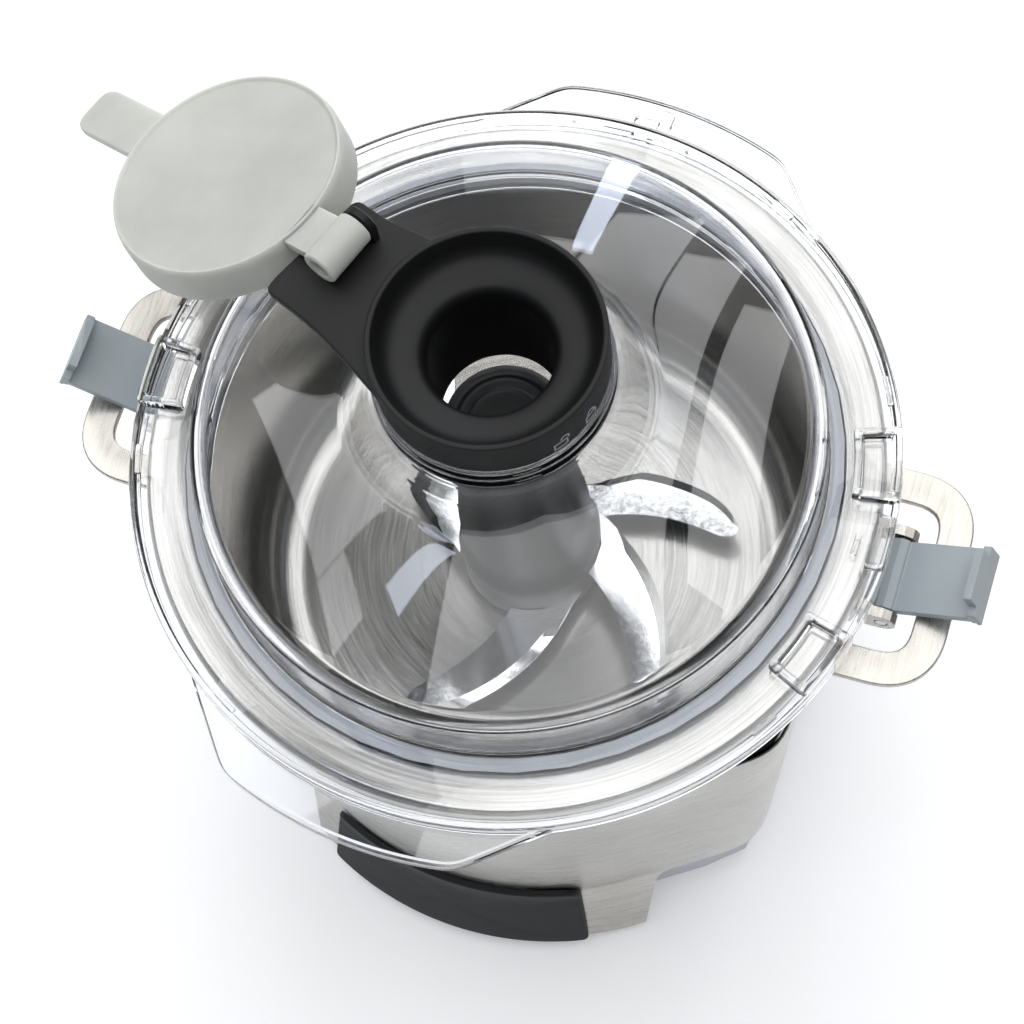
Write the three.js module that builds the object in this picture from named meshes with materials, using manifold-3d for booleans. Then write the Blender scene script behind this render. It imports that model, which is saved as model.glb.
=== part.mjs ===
import * as THREE from "three";
import { mergeVertices } from "three/addons/utils/BufferGeometryUtils.js";
import Module from "manifold-3d";

// A food processor: a steel-jacketed motor base, a lift-out bowl with two clips, a clear lid,
// a turning funnel with a hinged cap, and a four-winged blade on a tall hub.
// Millimetres. +Z up, -Y the front, +X towards the right-hand clip. The table is z = 0.

const wasm = await Module();
wasm.setup();

// ---- driving dimensions ----
const gap = 0.3; // between pieces that touch
const slideGap = 1.0; // between the bowl and the well it lifts out of

const footHeight = 5;
const trayFloor = 3;
const trayWall = 2.2;
const trayGap = 8.5; // from the tray's top edge up to what is set in the back
const motorRoom = 79.7; // from the top of the tray floor to the underside of the well
const motorRadius = 42;
const shaftRadius = 5;
const wellFloorThickness = 5;
const wellWall = 2.1;

const bowlRadius = 104.2; // inside, just below the rim
const bowlTaper = 4.7;
const bowlDepth = 94.8;
const bowlCorner = 18;
const bowlSheet = 1.2;
const bowlBaseHeight = 17.8;
const rimFlare = 8.8;
const rimWidth = 10;
const rimHem = 6.8;
const spindleRadius = 6;

const lidSheet = 2.8;
const lidOverhang = 5;
const lidRise = 26;
const domeRise = 19.5;
const neckRadius = 36.9;
const neckHeight = 26;
const lidTurn = -7; // degrees, the lid's own front against the base's front
const tabReach = 13;
const tabHalfAngle = 31.8;
const tabCorner = 17;

const collarHeight = 16.7;
const boreRadius = 19.5;
const capRadius = 39.5;
const capHeight = 15;
const armAngle = 159.5; // degrees, the way the funnel's arm and hinge point
const hingeReach = 54;
const hingeBarrel = 6;
const capDroop = 18; // degrees below level when the cap lies open
const capSwing = 180 + capDroop;

const deckDrop = 34; // from the bowl's rim down to the top of the base
const jacketSheet = 1.2;
const notchHeight = 42;
const toeBottom = 7;
const toeHalfWidth = 66;
const toeFlare = 9;
const facetAngle = 57; // degrees between a side's normal and the tangent facet's
const deckMargin = 0.7; // from the well out to the jacket's flat side
const sideLean = 3.49; // degrees, how far the flat side leans out
const frontMargin = 4; // how much further out the round front is than the flat side
const frontLean = 2.18; // degrees, the same for the round front

const handleDrop = 21.8; // from the rim down to the middle of the handle strip
const handleStandOff = 22; // from a clip's pin out to the handle's outer edge
const handleHalfWidth = 38;
const handleStrip = 11;
const handleSheet = 3;
const clipWidth = 25;
const clipSheet = 3;
const clipPivotOut = 2; // from the lid's edge to the clip's pin
const clipRest = 25; // degrees above level when the clip lies open
const pinRadius = 2;
const catchRise = 5;

const hubHeight = 118;
const hubTopRadius = 20;
const hubFootRadius = 25.5;
const wingReach = 74;
const wingSheet = 2;

// ---- heights and radii that follow from them ----
const trayTop = footHeight + trayFloor;
const wellFloorZ = trayTop + motorRoom;
const bowlBaseZ = wellFloorZ + wellFloorThickness + gap;
const floorZ = bowlBaseZ + bowlBaseHeight + gap + bowlSheet;
const rimZ = floorZ + bowlDepth;
const deckZ = rimZ - deckDrop;
const flangeInner = bowlRadius + rimFlare;
const flangeOuter = flangeInner + rimWidth;
const lidRadius = flangeOuter + lidOverhang;
const plateZ = rimZ + gap + 0.1;
const plateTop = plateZ + lidSheet;
const shoulderZ = plateTop + lidRise;
const lidWall = bowlRadius - 0.7; // outside of the lid's standing wall
const neckTop = shoulderZ + domeRise + neckHeight;
const collarTop = neckTop + gap + collarHeight;
const hingeZ = collarTop + 2.6;
const bowlOuterAtDeck = bowlRadius + bowlSheet;
const wellRadius = bowlOuterAtDeck + slideGap;
const sideTop = wellRadius + wellWall + gap + jacketSheet + deckMargin;
const sideSlope = Math.tan(THREE.MathUtils.degToRad(sideLean));
const sideFoot = sideTop - sideSlope * (deckZ - notchHeight);
const frontTop = sideTop + frontMargin;
const frontSlope = Math.tan(THREE.MathUtils.degToRad(frontLean));
const frontFoot = frontTop - frontSlope * (deckZ - notchHeight);
const handleZ = rimZ - handleDrop;
const clipPivotX = lidRadius + clipPivotOut;
const handleReach = clipPivotX + handleStandOff;
const catchTop = plateTop + catchRise;

// ---- materials ----
function finish(color, roughness, metalness, opacity = 1) {
  return new THREE.MeshStandardMaterial({ color, roughness, metalness, opacity, transparent: opacity < 1 });
}
const brushedSteel = finish("#c3c1bb", 0.35, 1);
const polishedSteel = finish("#d9dbdc", 0.15, 1);
const greyPlastic = finish("#c9cacc", 0.5, 0);
const blackPlastic = finish("#1e1f22", 0.45, 0);
const clipPlastic = finish("#8e979b", 0.5, 0);
const clearPlastic = finish("#f2f5f8", 0.05, 0, 0.3);
const silicone = finish("#bfc4c3", 0.6, 0, 0.95);
const rubber = finish("#3a3b3d", 0.8, 0);
const copper = finish("#b4693a", 0.4, 1);
const iron = finish("#6a6d70", 0.5, 1);
const aluminium = finish("#b9bcc0", 0.4, 1);
const boardGreen = finish("#2f6b45", 0.6, 0);

// ---- making and joining solids ----
const rad = THREE.MathUtils.degToRad;

// Facets round a full turn. Large pieces that nest share one count, so their flats line up.
const largeRound = 40;
const mediumRound = 24;
const smallRound = 16;
const tinyRound = 10;

// A closed mesh as a solid, turned face out if its profile ran the other way round.
function solid(geometry) {
  const bare = new THREE.BufferGeometry().setAttribute("position", geometry.getAttribute("position"));
  bare.setIndex(geometry.getIndex());
  const merged = mergeVertices(bare, 1e-4);
  const kept = [];
  const index = merged.index.array;
  for (let i = 0; i < index.length; i += 3) {
    const [a, b, c] = [index[i], index[i + 1], index[i + 2]];
    if (a !== b && b !== c && c !== a) kept.push(a, b, c);
  }
  const make = (triVerts) =>
    new wasm.Manifold(
      new wasm.Mesh({ numProp: 3, vertProperties: new Float32Array(merged.attributes.position.array), triVerts }),
    );
  const made = make(new Uint32Array(kept));
  if (made.volume() > 0) return made;
  const turned = [];
  for (let i = 0; i < kept.length; i += 3) turned.push(kept[i], kept[i + 2], kept[i + 1]);
  return make(new Uint32Array(turned));
}

// A profile of [radius, height] points turned round the z axis.
function lathe(profile, segments = largeRound) {
  const points = profile.map(([r, z]) => new THREE.Vector2(r, z));
  const onAxis = profile[0][0] === 0 && profile.at(-1)[0] === 0;
  if (!onAxis) points.push(points[0].clone());
  return solid(new THREE.LatheGeometry(points, segments).rotateX(Math.PI / 2));
}

// Points on an arc in the profile's plane, angles in degrees.
function arc(cx, cz, radius, from, to, steps = 4) {
  return Array.from({ length: steps + 1 }, (_, i) => {
    const a = rad(from + ((to - from) * i) / steps);
    return [cx + radius * Math.cos(a), cz + radius * Math.sin(a)];
  });
}

function tube(outer, inner, z0, z1, segments = smallRound) {
  return lathe([[inner, z0], [outer, z0], [outer, z1], [inner, z1]], segments);
}

function disc(radius, z0, z1, segments = smallRound) {
  return lathe([[0, z0], [radius, z0], [radius, z1], [0, z1]], segments);
}

function box(x0, x1, y0, y1, z0, z1) {
  return solid(
    new THREE.BoxGeometry(x1 - x0, y1 - y0, z1 - z0).translate((x0 + x1) / 2, (y0 + y1) / 2, (z0 + z1) / 2),
  );
}

// An outline of [x, y] points, or a Shape, drawn up from z0 to z1.
function prism(outline, z0, z1, curveSegments = 5) {
  const listed = Array.isArray(outline);
  const shape = listed ? new THREE.Shape(outline.map((at) => new THREE.Vector2(...at))) : outline;
  const geometry = new THREE.ExtrudeGeometry(shape, { depth: z1 - z0, bevelEnabled: false, curveSegments });
  return solid(geometry.translate(0, 0, z0));
}

// A round bar along y, centred on (x, z).
function barY(radius, x, z, y0, y1, segments = tinyRound) {
  const geometry = new THREE.CylinderGeometry(radius, radius, y1 - y0, segments);
  return solid(geometry.translate(x, (y0 + y1) / 2, z));
}

// Rings of equally many points, each joined to the next and the last to the first.
function loop(rings) {
  const count = rings[0].length;
  const index = [];
  rings.forEach((_, i) => {
    const j = (i + 1) % rings.length;
    for (let k = 0; k < count; k += 1) {
      const l = (k + 1) % count;
      index.push(i * count + k, i * count + l, j * count + l, i * count + k, j * count + l, j * count + k);
    }
  });
  const geometry = new THREE.BufferGeometry().setAttribute(
    "position",
    new THREE.Float32BufferAttribute(rings.flat(2), 3),
  );
  geometry.setIndex(index);
  return solid(geometry);
}

// Closed sections of equally many points, joined in turn and capped at both ends.
function strip(sections) {
  const count = sections[0].length;
  const last = (sections.length - 1) * count;
  const index = [];
  for (let i = 0; i < sections.length - 1; i += 1) {
    for (let k = 0; k < count; k += 1) {
      const l = (k + 1) % count;
      const [a, b] = [i * count, (i + 1) * count];
      index.push(a + k, a + l, b + l, a + k, b + l, b + k);
    }
  }
  for (let k = 1; k < count - 1; k += 1) {
    index.push(0, k + 1, k, last, last + k, last + k + 1);
  }
  const geometry = new THREE.BufferGeometry().setAttribute(
    "position",
    new THREE.Float32BufferAttribute(sections.flat(2), 3),
  );
  geometry.setIndex(index);
  return solid(geometry);
}

const group = new THREE.Group();

function add(name, body, material) {
  const { numProp, vertProperties, triVerts } = body.getMesh();
  const positions = new Float32Array((vertProperties.length / numProp) * 3);
  for (let i = 0; i < positions.length / 3; i += 1) {
    for (let k = 0; k < 3; k += 1) positions[3 * i + k] = vertProperties[numProp * i + k];
  }
  const corners = new THREE.BufferAttribute(positions, 3);
  const geometry = new THREE.BufferGeometry().setAttribute("position", corners);
  geometry.setIndex(new THREE.BufferAttribute(new Uint32Array(triVerts), 1));
  geometry.computeVertexNormals();
  const mesh = new THREE.Mesh(geometry, material);
  mesh.name = name;
  group.add(mesh);
}

const both = [["left", -1], ["right", 1]];

// ---- base: outline ----
// Front and back are arcs that run on in straight tangents to two flat sides.
function planRadius(angle, front, side) {
  const turned = Math.abs(Math.atan2(Math.sin(angle), Math.cos(angle)));
  const fromSide = Math.min(turned, Math.PI - turned);
  const facet = rad(facetAngle);
  const bow = fromSide > facet ? front : front / Math.cos(facet - fromSide);
  const flat = side / Math.max(Math.cos(fromSide), 1e-3);
  const sharpness = 26;
  return (bow ** -sharpness + flat ** -sharpness) ** (-1 / sharpness);
}

function planRing(z, front, side, count = largeRound) {
  return Array.from({ length: count }, (_, k) => {
    const angle = (2 * Math.PI * (k + 0.5)) / count;
    const r = planRadius(angle, front, side);
    return [r * Math.cos(angle), r * Math.sin(angle), z];
  });
}

function frontAt(z) {
  if (z < notchHeight) return frontFoot + (toeFlare * (notchHeight - z)) / (notchHeight - toeBottom);
  return frontFoot + frontSlope * (z - notchHeight);
}

function sideAt(z) {
  return sideFoot + sideSlope * Math.max(z - notchHeight, 0);
}

// ---- base: shells ----
const trayFront = frontFoot - jacketSheet - 5;
const traySide = sideFoot - jacketSheet - 3;
const panelTop = notchHeight + 8;
const rearDrop = 13.7; // from the well's underside down to the middle of what is set in the back
const inlet = { x: -28, z: wellFloorZ - rearDrop, halfWidth: 14, halfHeight: 10 };
const rocker = { x: 28, z: wellFloorZ - rearDrop, halfWidth: 7.5, halfHeight: 10.5 };
const trayHeight = rocker.z - Math.max(inlet.halfHeight, rocker.halfHeight) - trayGap;

function makeJacket() {
  const heights = [toeBottom, notchHeight, (notchHeight + deckZ) / 2, deckZ];
  const outer = heights.map((z) => planRing(z, frontAt(z), sideAt(z)));
  const inner = heights.map((z) => planRing(z, frontAt(z) - jacketSheet, sideAt(z) - jacketSheet)).reverse();
  let body = loop([...outer, ...inner]);
  for (const [, way] of both) {
    const notch = new THREE.Shape();
    const far = sideTop + 30;
    notch.moveTo(toeHalfWidth, -1);
    notch.lineTo(far, -1);
    notch.lineTo(far, notchHeight);
    notch.lineTo(toeHalfWidth + 8, notchHeight);
    notch.quadraticCurveTo(toeHalfWidth + 3.4, notchHeight, toeHalfWidth + 3, notchHeight - 4);
    const cutter = prism(notch, -300, 300).rotate([90, 0, 0]);
    body = body.subtract(way > 0 ? cutter : cutter.mirror([1, 0, 0]));
  }
  for (const hole of [inlet, rocker]) {
    const { x, z, halfWidth, halfHeight } = hole;
    body = body.subtract(
      box(x - halfWidth - gap, x + halfWidth + gap, 60, 160, z - halfHeight - gap, z + halfHeight + gap),
    );
  }
  return body;
}
add("jacket", makeJacket(), brushedSteel);

const footSpots = [[-62, -66], [62, -66], [-62, 66], [62, 66]];
const screwSpots = [[-78, -30], [78, -30], [-78, 30], [78, 30]];
const screwRadius = 2;
const ventPitch = 9;
const ventHalfLength = 34; // the middle slot's; those beside it are shorter

function makeTray() {
  const outer = [footHeight, trayHeight].map((z) => planRing(z, trayFront, traySide));
  const inner = [trayHeight, footHeight + trayFloor].map((z) =>
    planRing(z, trayFront - trayWall, traySide - trayWall),
  );
  let body = loop([...outer, ...inner]);
  body = body.add(prism(planRing(0, trayFront - 1, traySide - 1), footHeight, trayTop));
  for (const [x, y] of screwSpots) {
    const boss = tube(5, screwRadius + gap, footHeight, trayHeight - 10, tinyRound).translate([x, y, 0]);
    body = body.add(boss).subtract(disc(screwRadius + gap, 0, trayHeight, tinyRound).translate([x, y, 0]));
  }
  for (let i = -3; i <= 3; i += 1) {
    const half = ventHalfLength - 1.5 * i * i;
    body = body.subtract(box(i * ventPitch - 2.2, i * ventPitch + 2.2, -half, half, 0, trayTop + 1));
  }
  return body;
}
add("base_tray", makeTray(), greyPlastic);

footSpots.forEach(([x, y], i) => {
  const foot = lathe([[0, 0], [8, 0], [9, 1], [9, footHeight - gap], [0, footHeight - gap]], smallRound);
  add(`foot_${i + 1}`, foot.translate([x, y, 0]), rubber);
});

screwSpots.forEach(([x, y], i) => {
  const head = footHeight - gap;
  const screw = lathe([[0, head - 2.2], [3.6, head - 2.2], [3.8, head], [screwRadius, head],
    [screwRadius, trayHeight - 16], [0, trayHeight - 16]], tinyRound);
  add(`tray_screw_${i + 1}`, screw.translate([x, y, 0]), iron);
});

// The panel lies on the leaning toe, set a little to the left, with rounded upper corners.
const panelCentre = -92.5;
const panelHalfAngle = 26;
function makePanel() {
  const steps = 16;
  const sections = Array.from({ length: steps + 1 }, (_, i) => {
    const share = -1 + (2 * i) / steps;
    const angle = rad(panelCentre + panelHalfAngle * share);
    const fromEnd = (1 - Math.abs(share)) * rad(panelHalfAngle) * frontFoot;
    const corner = 8;
    const drop = fromEnd < corner ? corner - Math.sqrt(corner ** 2 - (corner - fromEnd) ** 2) : 0;
    const heights = [toeBottom + 1, notchHeight - 8, Math.min(notchHeight, panelTop - drop), panelTop - drop];
    const at = (r, z) => [r * Math.cos(angle), r * Math.sin(angle), z];
    const face = heights.map((z) => at(frontAt(z) + 3, z));
    const back = heights.map((z) => at(frontAt(z) + 0.6, z)).reverse();
    return [...face, ...back];
  });
  return strip(sections);
}
add("front_panel", makePanel(), blackPlastic);

// ---- base: the well that takes the bowl ----
const couplingRadius = 12;
const connector = { y: motorRadius + 18, halfWidth: 12, halfDepth: 6 };
const probe = { x: motorRadius + 16, radius: 4 };

function makeWell() {
  const lowRadius = wellRadius - bowlTaper;
  const wall = lathe([
    [couplingRadius + 3, wellFloorZ],
    [lowRadius + wellWall, wellFloorZ],
    [wellRadius + wellWall, deckZ - 1],
    [wellRadius, deckZ - 1],
    [lowRadius, wellFloorZ + wellFloorThickness + 3],
    [lowRadius - 3, wellFloorZ + wellFloorThickness],
    [couplingRadius + 3, wellFloorZ + wellFloorThickness],
  ]);
  const inset = jacketSheet + 2 * gap;
  const deckOutline = planRing(0, frontAt(deckZ) - inset, sideAt(deckZ) - inset).map(([x, y]) => [x, y]);
  const deck = prism(deckOutline, deckZ - 3, deckZ).subtract(disc(wellRadius, deckZ - 9, deckZ + 1, largeRound));
  const slot = box(-connector.halfWidth - gap, connector.halfWidth + gap, connector.y - connector.halfDepth - gap,
    connector.y + connector.halfDepth + gap, wellFloorZ - 1, wellFloorZ + wellFloorThickness + 1);
  const probeHole = disc(probe.radius + gap, wellFloorZ - 1, wellFloorZ + wellFloorThickness + 1, tinyRound);
  return wall.add(deck).subtract(slot).subtract(probeHole.translate([probe.x, 0, 0]));
}
add("bowl_well", makeWell(), blackPlastic);

function makeConnector() {
  const { y, halfWidth, halfDepth } = connector;
  let body = box(-halfWidth, halfWidth, y - halfDepth, y + halfDepth, wellFloorZ - 6, bowlBaseZ - gap);
  for (const x of [-7, 0, 7]) body = body.add(disc(1.4, bowlBaseZ - 2, bowlBaseZ + 7, 8).translate([x, y, 0]));
  return body;
}
add("bowl_connector", makeConnector(), greyPlastic);
const discFoot = floorZ - bowlSheet - gap - 4;
add("temperature_probe",
  lathe([[0, wellFloorZ - 9], [probe.radius, wellFloorZ - 9], [probe.radius, discFoot - 1],
    [probe.radius - 1, discFoot - gap], [0, discFoot - gap]], tinyRound).translate([probe.x, 0, 0]), polishedSteel);

// ---- base: rear inlet and rocker ----
// Outline of the rear wall at height z and across x, for what passes through it.
function rearAt(x, z) {
  return Math.sqrt(frontAt(z) ** 2 - x ** 2);
}

function makeInlet() {
  const { x, z, halfWidth, halfHeight } = inlet;
  const out = rearAt(x, z) + 3;
  let body = box(x - halfWidth, x + halfWidth, out - 24, out, z - halfHeight, z + halfHeight);
  body = body.subtract(
    box(x - halfWidth + 3, x + halfWidth - 3, out - 17, out + 1, z - halfHeight + 3, z + halfHeight - 3),
  );
  for (const [dx, dz] of [[-6, -2], [0, 3], [6, -2]]) {
    body = body.add(box(x + dx - 1, x + dx + 1, out - 18, out - 4, z + dz - 2, z + dz + 2));
  }
  return body;
}
add("mains_inlet", makeInlet(), blackPlastic);

function makeSwitchFrame() {
  const { x, z, halfWidth, halfHeight } = rocker;
  const out = rearAt(x, z) + 3;
  return box(x - halfWidth, x + halfWidth, out - 20, out, z - halfHeight, z + halfHeight).subtract(
    box(x - halfWidth + 1.5, x + halfWidth - 1.5, out - 12, out + 1, z - halfHeight + 1.5, z + halfHeight - 1.5),
  );
}
add("switch_frame", makeSwitchFrame(), blackPlastic);

const rockerTilt = 10;
const rockerPivotY = rearAt(rocker.x, rocker.z) - 2;
function makeRocker() {
  const { x, z, halfWidth, halfHeight } = rocker;
  const half = halfHeight - 2.6;
  const profile = [[-4, 3], [-half, 5.2], [-half, 7], [0, 5.4], [half, 7], [half, 5.2], [4, 3]];
  const key = strip([-1, 1].map((side) => profile.map(([up, out]) => [x + side * (halfWidth - 2), out, up])));
  const hub = solid(new THREE.CylinderGeometry(3.4, 3.4, 2 * (halfWidth - 2), tinyRound).rotateZ(Math.PI / 2)
    .translate(x, 1.5, 0));
  const made = key.add(hub).translate([-x, 0, 0]).rotate([-rockerTilt / 2, 0, 0]);
  return made.translate([x, rockerPivotY - 1.2, z]);
}
add("rocker_key", makeRocker(), blackPlastic);

// ---- base: motor ----
const lowerPlate = trayTop + 16;
const upperPlate = wellFloorZ - gap - 4;
const plateRadius = motorRadius + 5;
const bearingRadius = 11;
const bearingHeight = 7;
const postSpots = [45, 135, 225, 315].map((a) => [
  plateRadius * Math.cos(rad(a)),
  plateRadius * Math.sin(rad(a)),
]);

function makeLowerFrame() {
  let body = tube(plateRadius + 4, bearingRadius + gap, lowerPlate, lowerPlate + 4, mediumRound);
  body = body.add(tube(bearingRadius + 4, bearingRadius + gap, lowerPlate, lowerPlate + bearingHeight + 1));
  body = body.add(tube(bearingRadius + 4, shaftRadius + 2, lowerPlate - 2, lowerPlate));
  for (const [x, y] of postSpots) {
    body = body.add(disc(3, lowerPlate + 3, upperPlate - gap, 8).translate([x, y, 0]));
    body = body.add(disc(3, trayTop + gap, lowerPlate + 1, 8).translate([x, y, 0]));
  }
  return body;
}
add("lower_motor_frame", makeLowerFrame(), aluminium);

const upperFrame = tube(plateRadius + 4, bearingRadius + gap, upperPlate, upperPlate + 4, mediumRound)
  .add(tube(bearingRadius + 4, bearingRadius + gap, upperPlate - bearingHeight + 3, upperPlate + 2));
add("upper_motor_frame", upperFrame, aluminium);

const bearingZ = { lower: lowerPlate + gap, upper: upperPlate + 4 - bearingHeight };
for (const [name, z] of Object.entries(bearingZ)) {
  add(`${name}_bearing`, tube(bearingRadius, shaftRadius + gap, z, z + bearingHeight), polishedSteel);
}

const stackLow = lowerPlate + 12;
const stackHigh = upperPlate - 12;
function makeStator() {
  let body = tube(motorRadius, 24, stackLow, stackHigh, mediumRound);
  for (let i = 0; i < 6; i += 1) {
    const coil = box(27, 38, -7, 7, stackLow - 5, stackHigh + 5);
    body = body.add(coil.rotate([0, 0, 60 * i + 30]));
  }
  return body;
}
add("motor_stator", makeStator(), copper);

add("motor_rotor", tube(23, shaftRadius + gap, stackLow - 2, stackHigh + 2), iron);
const shaftTop = wellFloorZ + 3;
add("motor_shaft", disc(shaftRadius, trayTop + 3, shaftTop), polishedSteel);

function makeFan() {
  const low = trayTop + 4;
  let body = tube(9, shaftRadius + gap, low, low + 8).add(tube(32, 8, low, low + 1.5, mediumRound));
  for (let i = 0; i < 9; i += 1) {
    body = body.add(box(8, 31, -0.8, 0.8, low + 1, low + 8).rotate([0, 0, 40 * i]));
  }
  return body;
}
add("cooling_fan", makeFan(), greyPlastic);

// Two halves of a dog clutch: three teeth each, standing in the other's spaces.
const clutchMid = bowlBaseZ + 8;
const toothHeight = 8;
const toothHalfAngle = 27;
function tooth(angle, z0, z1) {
  const steps = 4;
  const outline = [];
  for (let i = 0; i <= steps; i += 1) {
    const a = rad(angle - toothHalfAngle + (2 * toothHalfAngle * i) / steps);
    outline.push([couplingRadius * Math.cos(a), couplingRadius * Math.sin(a)]);
  }
  for (let i = steps; i >= 0; i -= 1) {
    const a = rad(angle - toothHalfAngle + (2 * toothHalfAngle * i) / steps);
    outline.push([6.5 * Math.cos(a), 6.5 * Math.sin(a)]);
  }
  return prism(outline, z0, z1);
}

function makeDriveCoupling() {
  const low = clutchMid - toothHeight - 5;
  let body = disc(couplingRadius, low, low + 5.5).subtract(disc(shaftRadius + gap, low - 1, shaftTop + gap));
  for (const angle of [0, 120, 240]) body = body.add(tooth(angle, low + 5, clutchMid - gap));
  return body;
}
add("drive_coupling", makeDriveCoupling(), greyPlastic);

// ---- base: boards ----
function makeControlBoard() {
  const y = -(frontAt(notchHeight) - 16);
  return box(-34, 34, y, y + 1.6, trayTop + 6, notchHeight + 10)
    .add(box(-14, 14, y + 1, y + 6, trayTop + 12, trayTop + 26))
    .add(box(20, 28, y + 1, y + 9, trayTop + 12, trayTop + 20));
}
add("control_board", makeControlBoard(), boardGreen);

function makePowerBoard() {
  const [low, near, far] = [trayTop + 5, 54, 92];
  return box(-36, 36, near, far, low, low + 1.6)
    .add(box(-28, -8, near + 4, near + 22, low + 1, low + 18))
    .add(box(6, 26, near + 4, near + 16, low + 1, low + 24))
    .add(disc(6, low + 1, low + 22, tinyRound).translate([-18, far - 9, 0]));
}
add("power_board", makePowerBoard(), boardGreen);

// ---- bowl ----
const lowWall = bowlRadius - bowlTaper;
const bushOuter = spindleRadius + gap + 2.6;
const spindleHole = bushOuter + gap;

function makeBowl() {
  const t = bowlSheet;
  return lathe([
    [spindleHole, floorZ],
    ...arc(lowWall - bowlCorner, floorZ + bowlCorner, bowlCorner, -90, 0, 3),
    ...arc(flangeInner, rimZ - rimFlare, rimFlare, 180, 90, 3),
    ...arc(flangeOuter - 2, rimZ - 2, 2, 90, 0, 2),
    [flangeOuter, rimZ - rimHem],
    [flangeOuter - t, rimZ - rimHem],
    [flangeOuter - t, rimZ - 2],
    [flangeOuter - 2, rimZ - t],
    ...arc(flangeInner, rimZ - rimFlare, rimFlare - t, 90, 180, 3),
    ...arc(lowWall - bowlCorner, floorZ + bowlCorner, bowlCorner + t, 0, -90, 3),
    [spindleHole, floorZ - t],
  ]);
}
add("bowl", makeBowl(), brushedSteel);

const baseRing = lowWall - 6.5;
function makeBowlBase() {
  const top = floorZ - bowlSheet + 1.6;
  const body = lathe([
    [couplingRadius + 4, bowlBaseZ],
    [baseRing + 2, bowlBaseZ],
    [baseRing + 4, bowlBaseZ + 3],
    [baseRing + 2, top - 0.2],
    [baseRing - 1, top - 1],
    [baseRing - 1, bowlBaseZ + 3],
    [couplingRadius + 4, bowlBaseZ + 3],
  ]);
  const room = box(-connector.halfWidth, connector.halfWidth, connector.y - connector.halfDepth,
    connector.y + connector.halfDepth, bowlBaseZ - 1, bowlBaseZ + 4);
  const probeRoom = disc(probe.radius + 1, bowlBaseZ - 1, bowlBaseZ + 4).translate([probe.x, 0, 0]);
  return body.subtract(room).subtract(probeRoom);
}
add("bowl_base", makeBowlBase(), blackPlastic);
const heatingRadius = lowWall - bowlCorner - 6;
add("heating_disc", tube(heatingRadius, bushOuter + 8, discFoot, discFoot + 4, mediumRound), aluminium);

const bushFoot = floorZ - bowlSheet - 5;
const spindleBush = lathe([
  [spindleRadius + gap, bushFoot],
  [bushOuter, bushFoot],
  [bushOuter, floorZ + gap],
  [bushOuter + 4, floorZ + gap],
  [bushOuter + 4, floorZ + 1.8],
  [bushOuter, floorZ + 1.8],
  [bushOuter, floorZ + 26],
  [spindleRadius + gap, floorZ + 26],
], smallRound);
add("spindle_bush", spindleBush, polishedSteel);
add("spindle_seal", tube(bushOuter + 3, bushOuter + gap, floorZ + 2.1, floorZ + 4.4), rubber);

// A flat loop of strip on each side, shaped to the bowl's wall where it is welded on.
const bowlSkin = bowlRadius + bowlSheet + gap;
function makeHandle(way) {
  const corner = 15;
  const near = bowlRadius - 16;
  const outline = new THREE.Shape();
  outline.moveTo(near, -handleHalfWidth);
  outline.lineTo(handleReach - corner, -handleHalfWidth);
  outline.quadraticCurveTo(handleReach, -handleHalfWidth, handleReach, -handleHalfWidth + corner);
  outline.lineTo(handleReach, handleHalfWidth - corner);
  outline.quadraticCurveTo(handleReach, handleHalfWidth, handleReach - corner, handleHalfWidth);
  outline.lineTo(near, handleHalfWidth);
  const [far, half, inner] = [handleReach - handleStrip - 2, handleHalfWidth - handleStrip, 6];
  const hole = new THREE.Shape();
  hole.moveTo(near - 1, -half);
  hole.lineTo(far - inner, -half);
  hole.quadraticCurveTo(far, -half, far, -half + inner);
  hole.lineTo(far, half - inner);
  hole.quadraticCurveTo(far, half, far - inner, half);
  hole.lineTo(near - 1, half);
  const [low, high] = [handleZ - handleSheet / 2, handleZ + handleSheet / 2];
  const whole = prism(outline, low, high, 5).subtract(prism(hole, low - 1, high + 1, 4));
  const trimmed = whole.subtract(disc(bowlSkin, low - 2, high + 2, largeRound));
  return way > 0 ? trimmed : trimmed.mirror([1, 0, 0]);
}
for (const [name, way] of both) add(`${name}_handle`, makeHandle(way), brushedSteel);

const earInner = clipWidth / 2 + 0.6;
const earOuter = earInner + 3.6;
function makeBracket(way) {
  const back = bowlSkin - 6;
  const plate = box(back, clipPivotX - 7, -earOuter, earOuter, handleZ - 8, handleZ + 5);
  const ears = [-1, 1].map((side) => {
    const [y0, y1] = side < 0 ? [-earOuter, -earInner] : [earInner, earOuter];
    const eye = barY(5, clipPivotX, handleZ, y0, y1);
    return box(clipPivotX - 8, clipPivotX, y0, y1, handleZ - 5, handleZ + 5).add(eye);
  });
  const body = plate.add(ears[0]).add(ears[1])
    .subtract(disc(bowlSkin, handleZ - 12, handleZ + 12, largeRound))
    .subtract(barY(pinRadius + gap, clipPivotX, handleZ, -30, 30));
  return way > 0 ? body : body.mirror([1, 0, 0]);
}
for (const [name, way] of both) {
  add(`${name}_bracket`, makeBracket(way), brushedSteel);
  add(`${name}_clip_pin`, barY(pinRadius, way * clipPivotX, handleZ, -earOuter, earOuter), polishedSteel);
}

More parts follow.
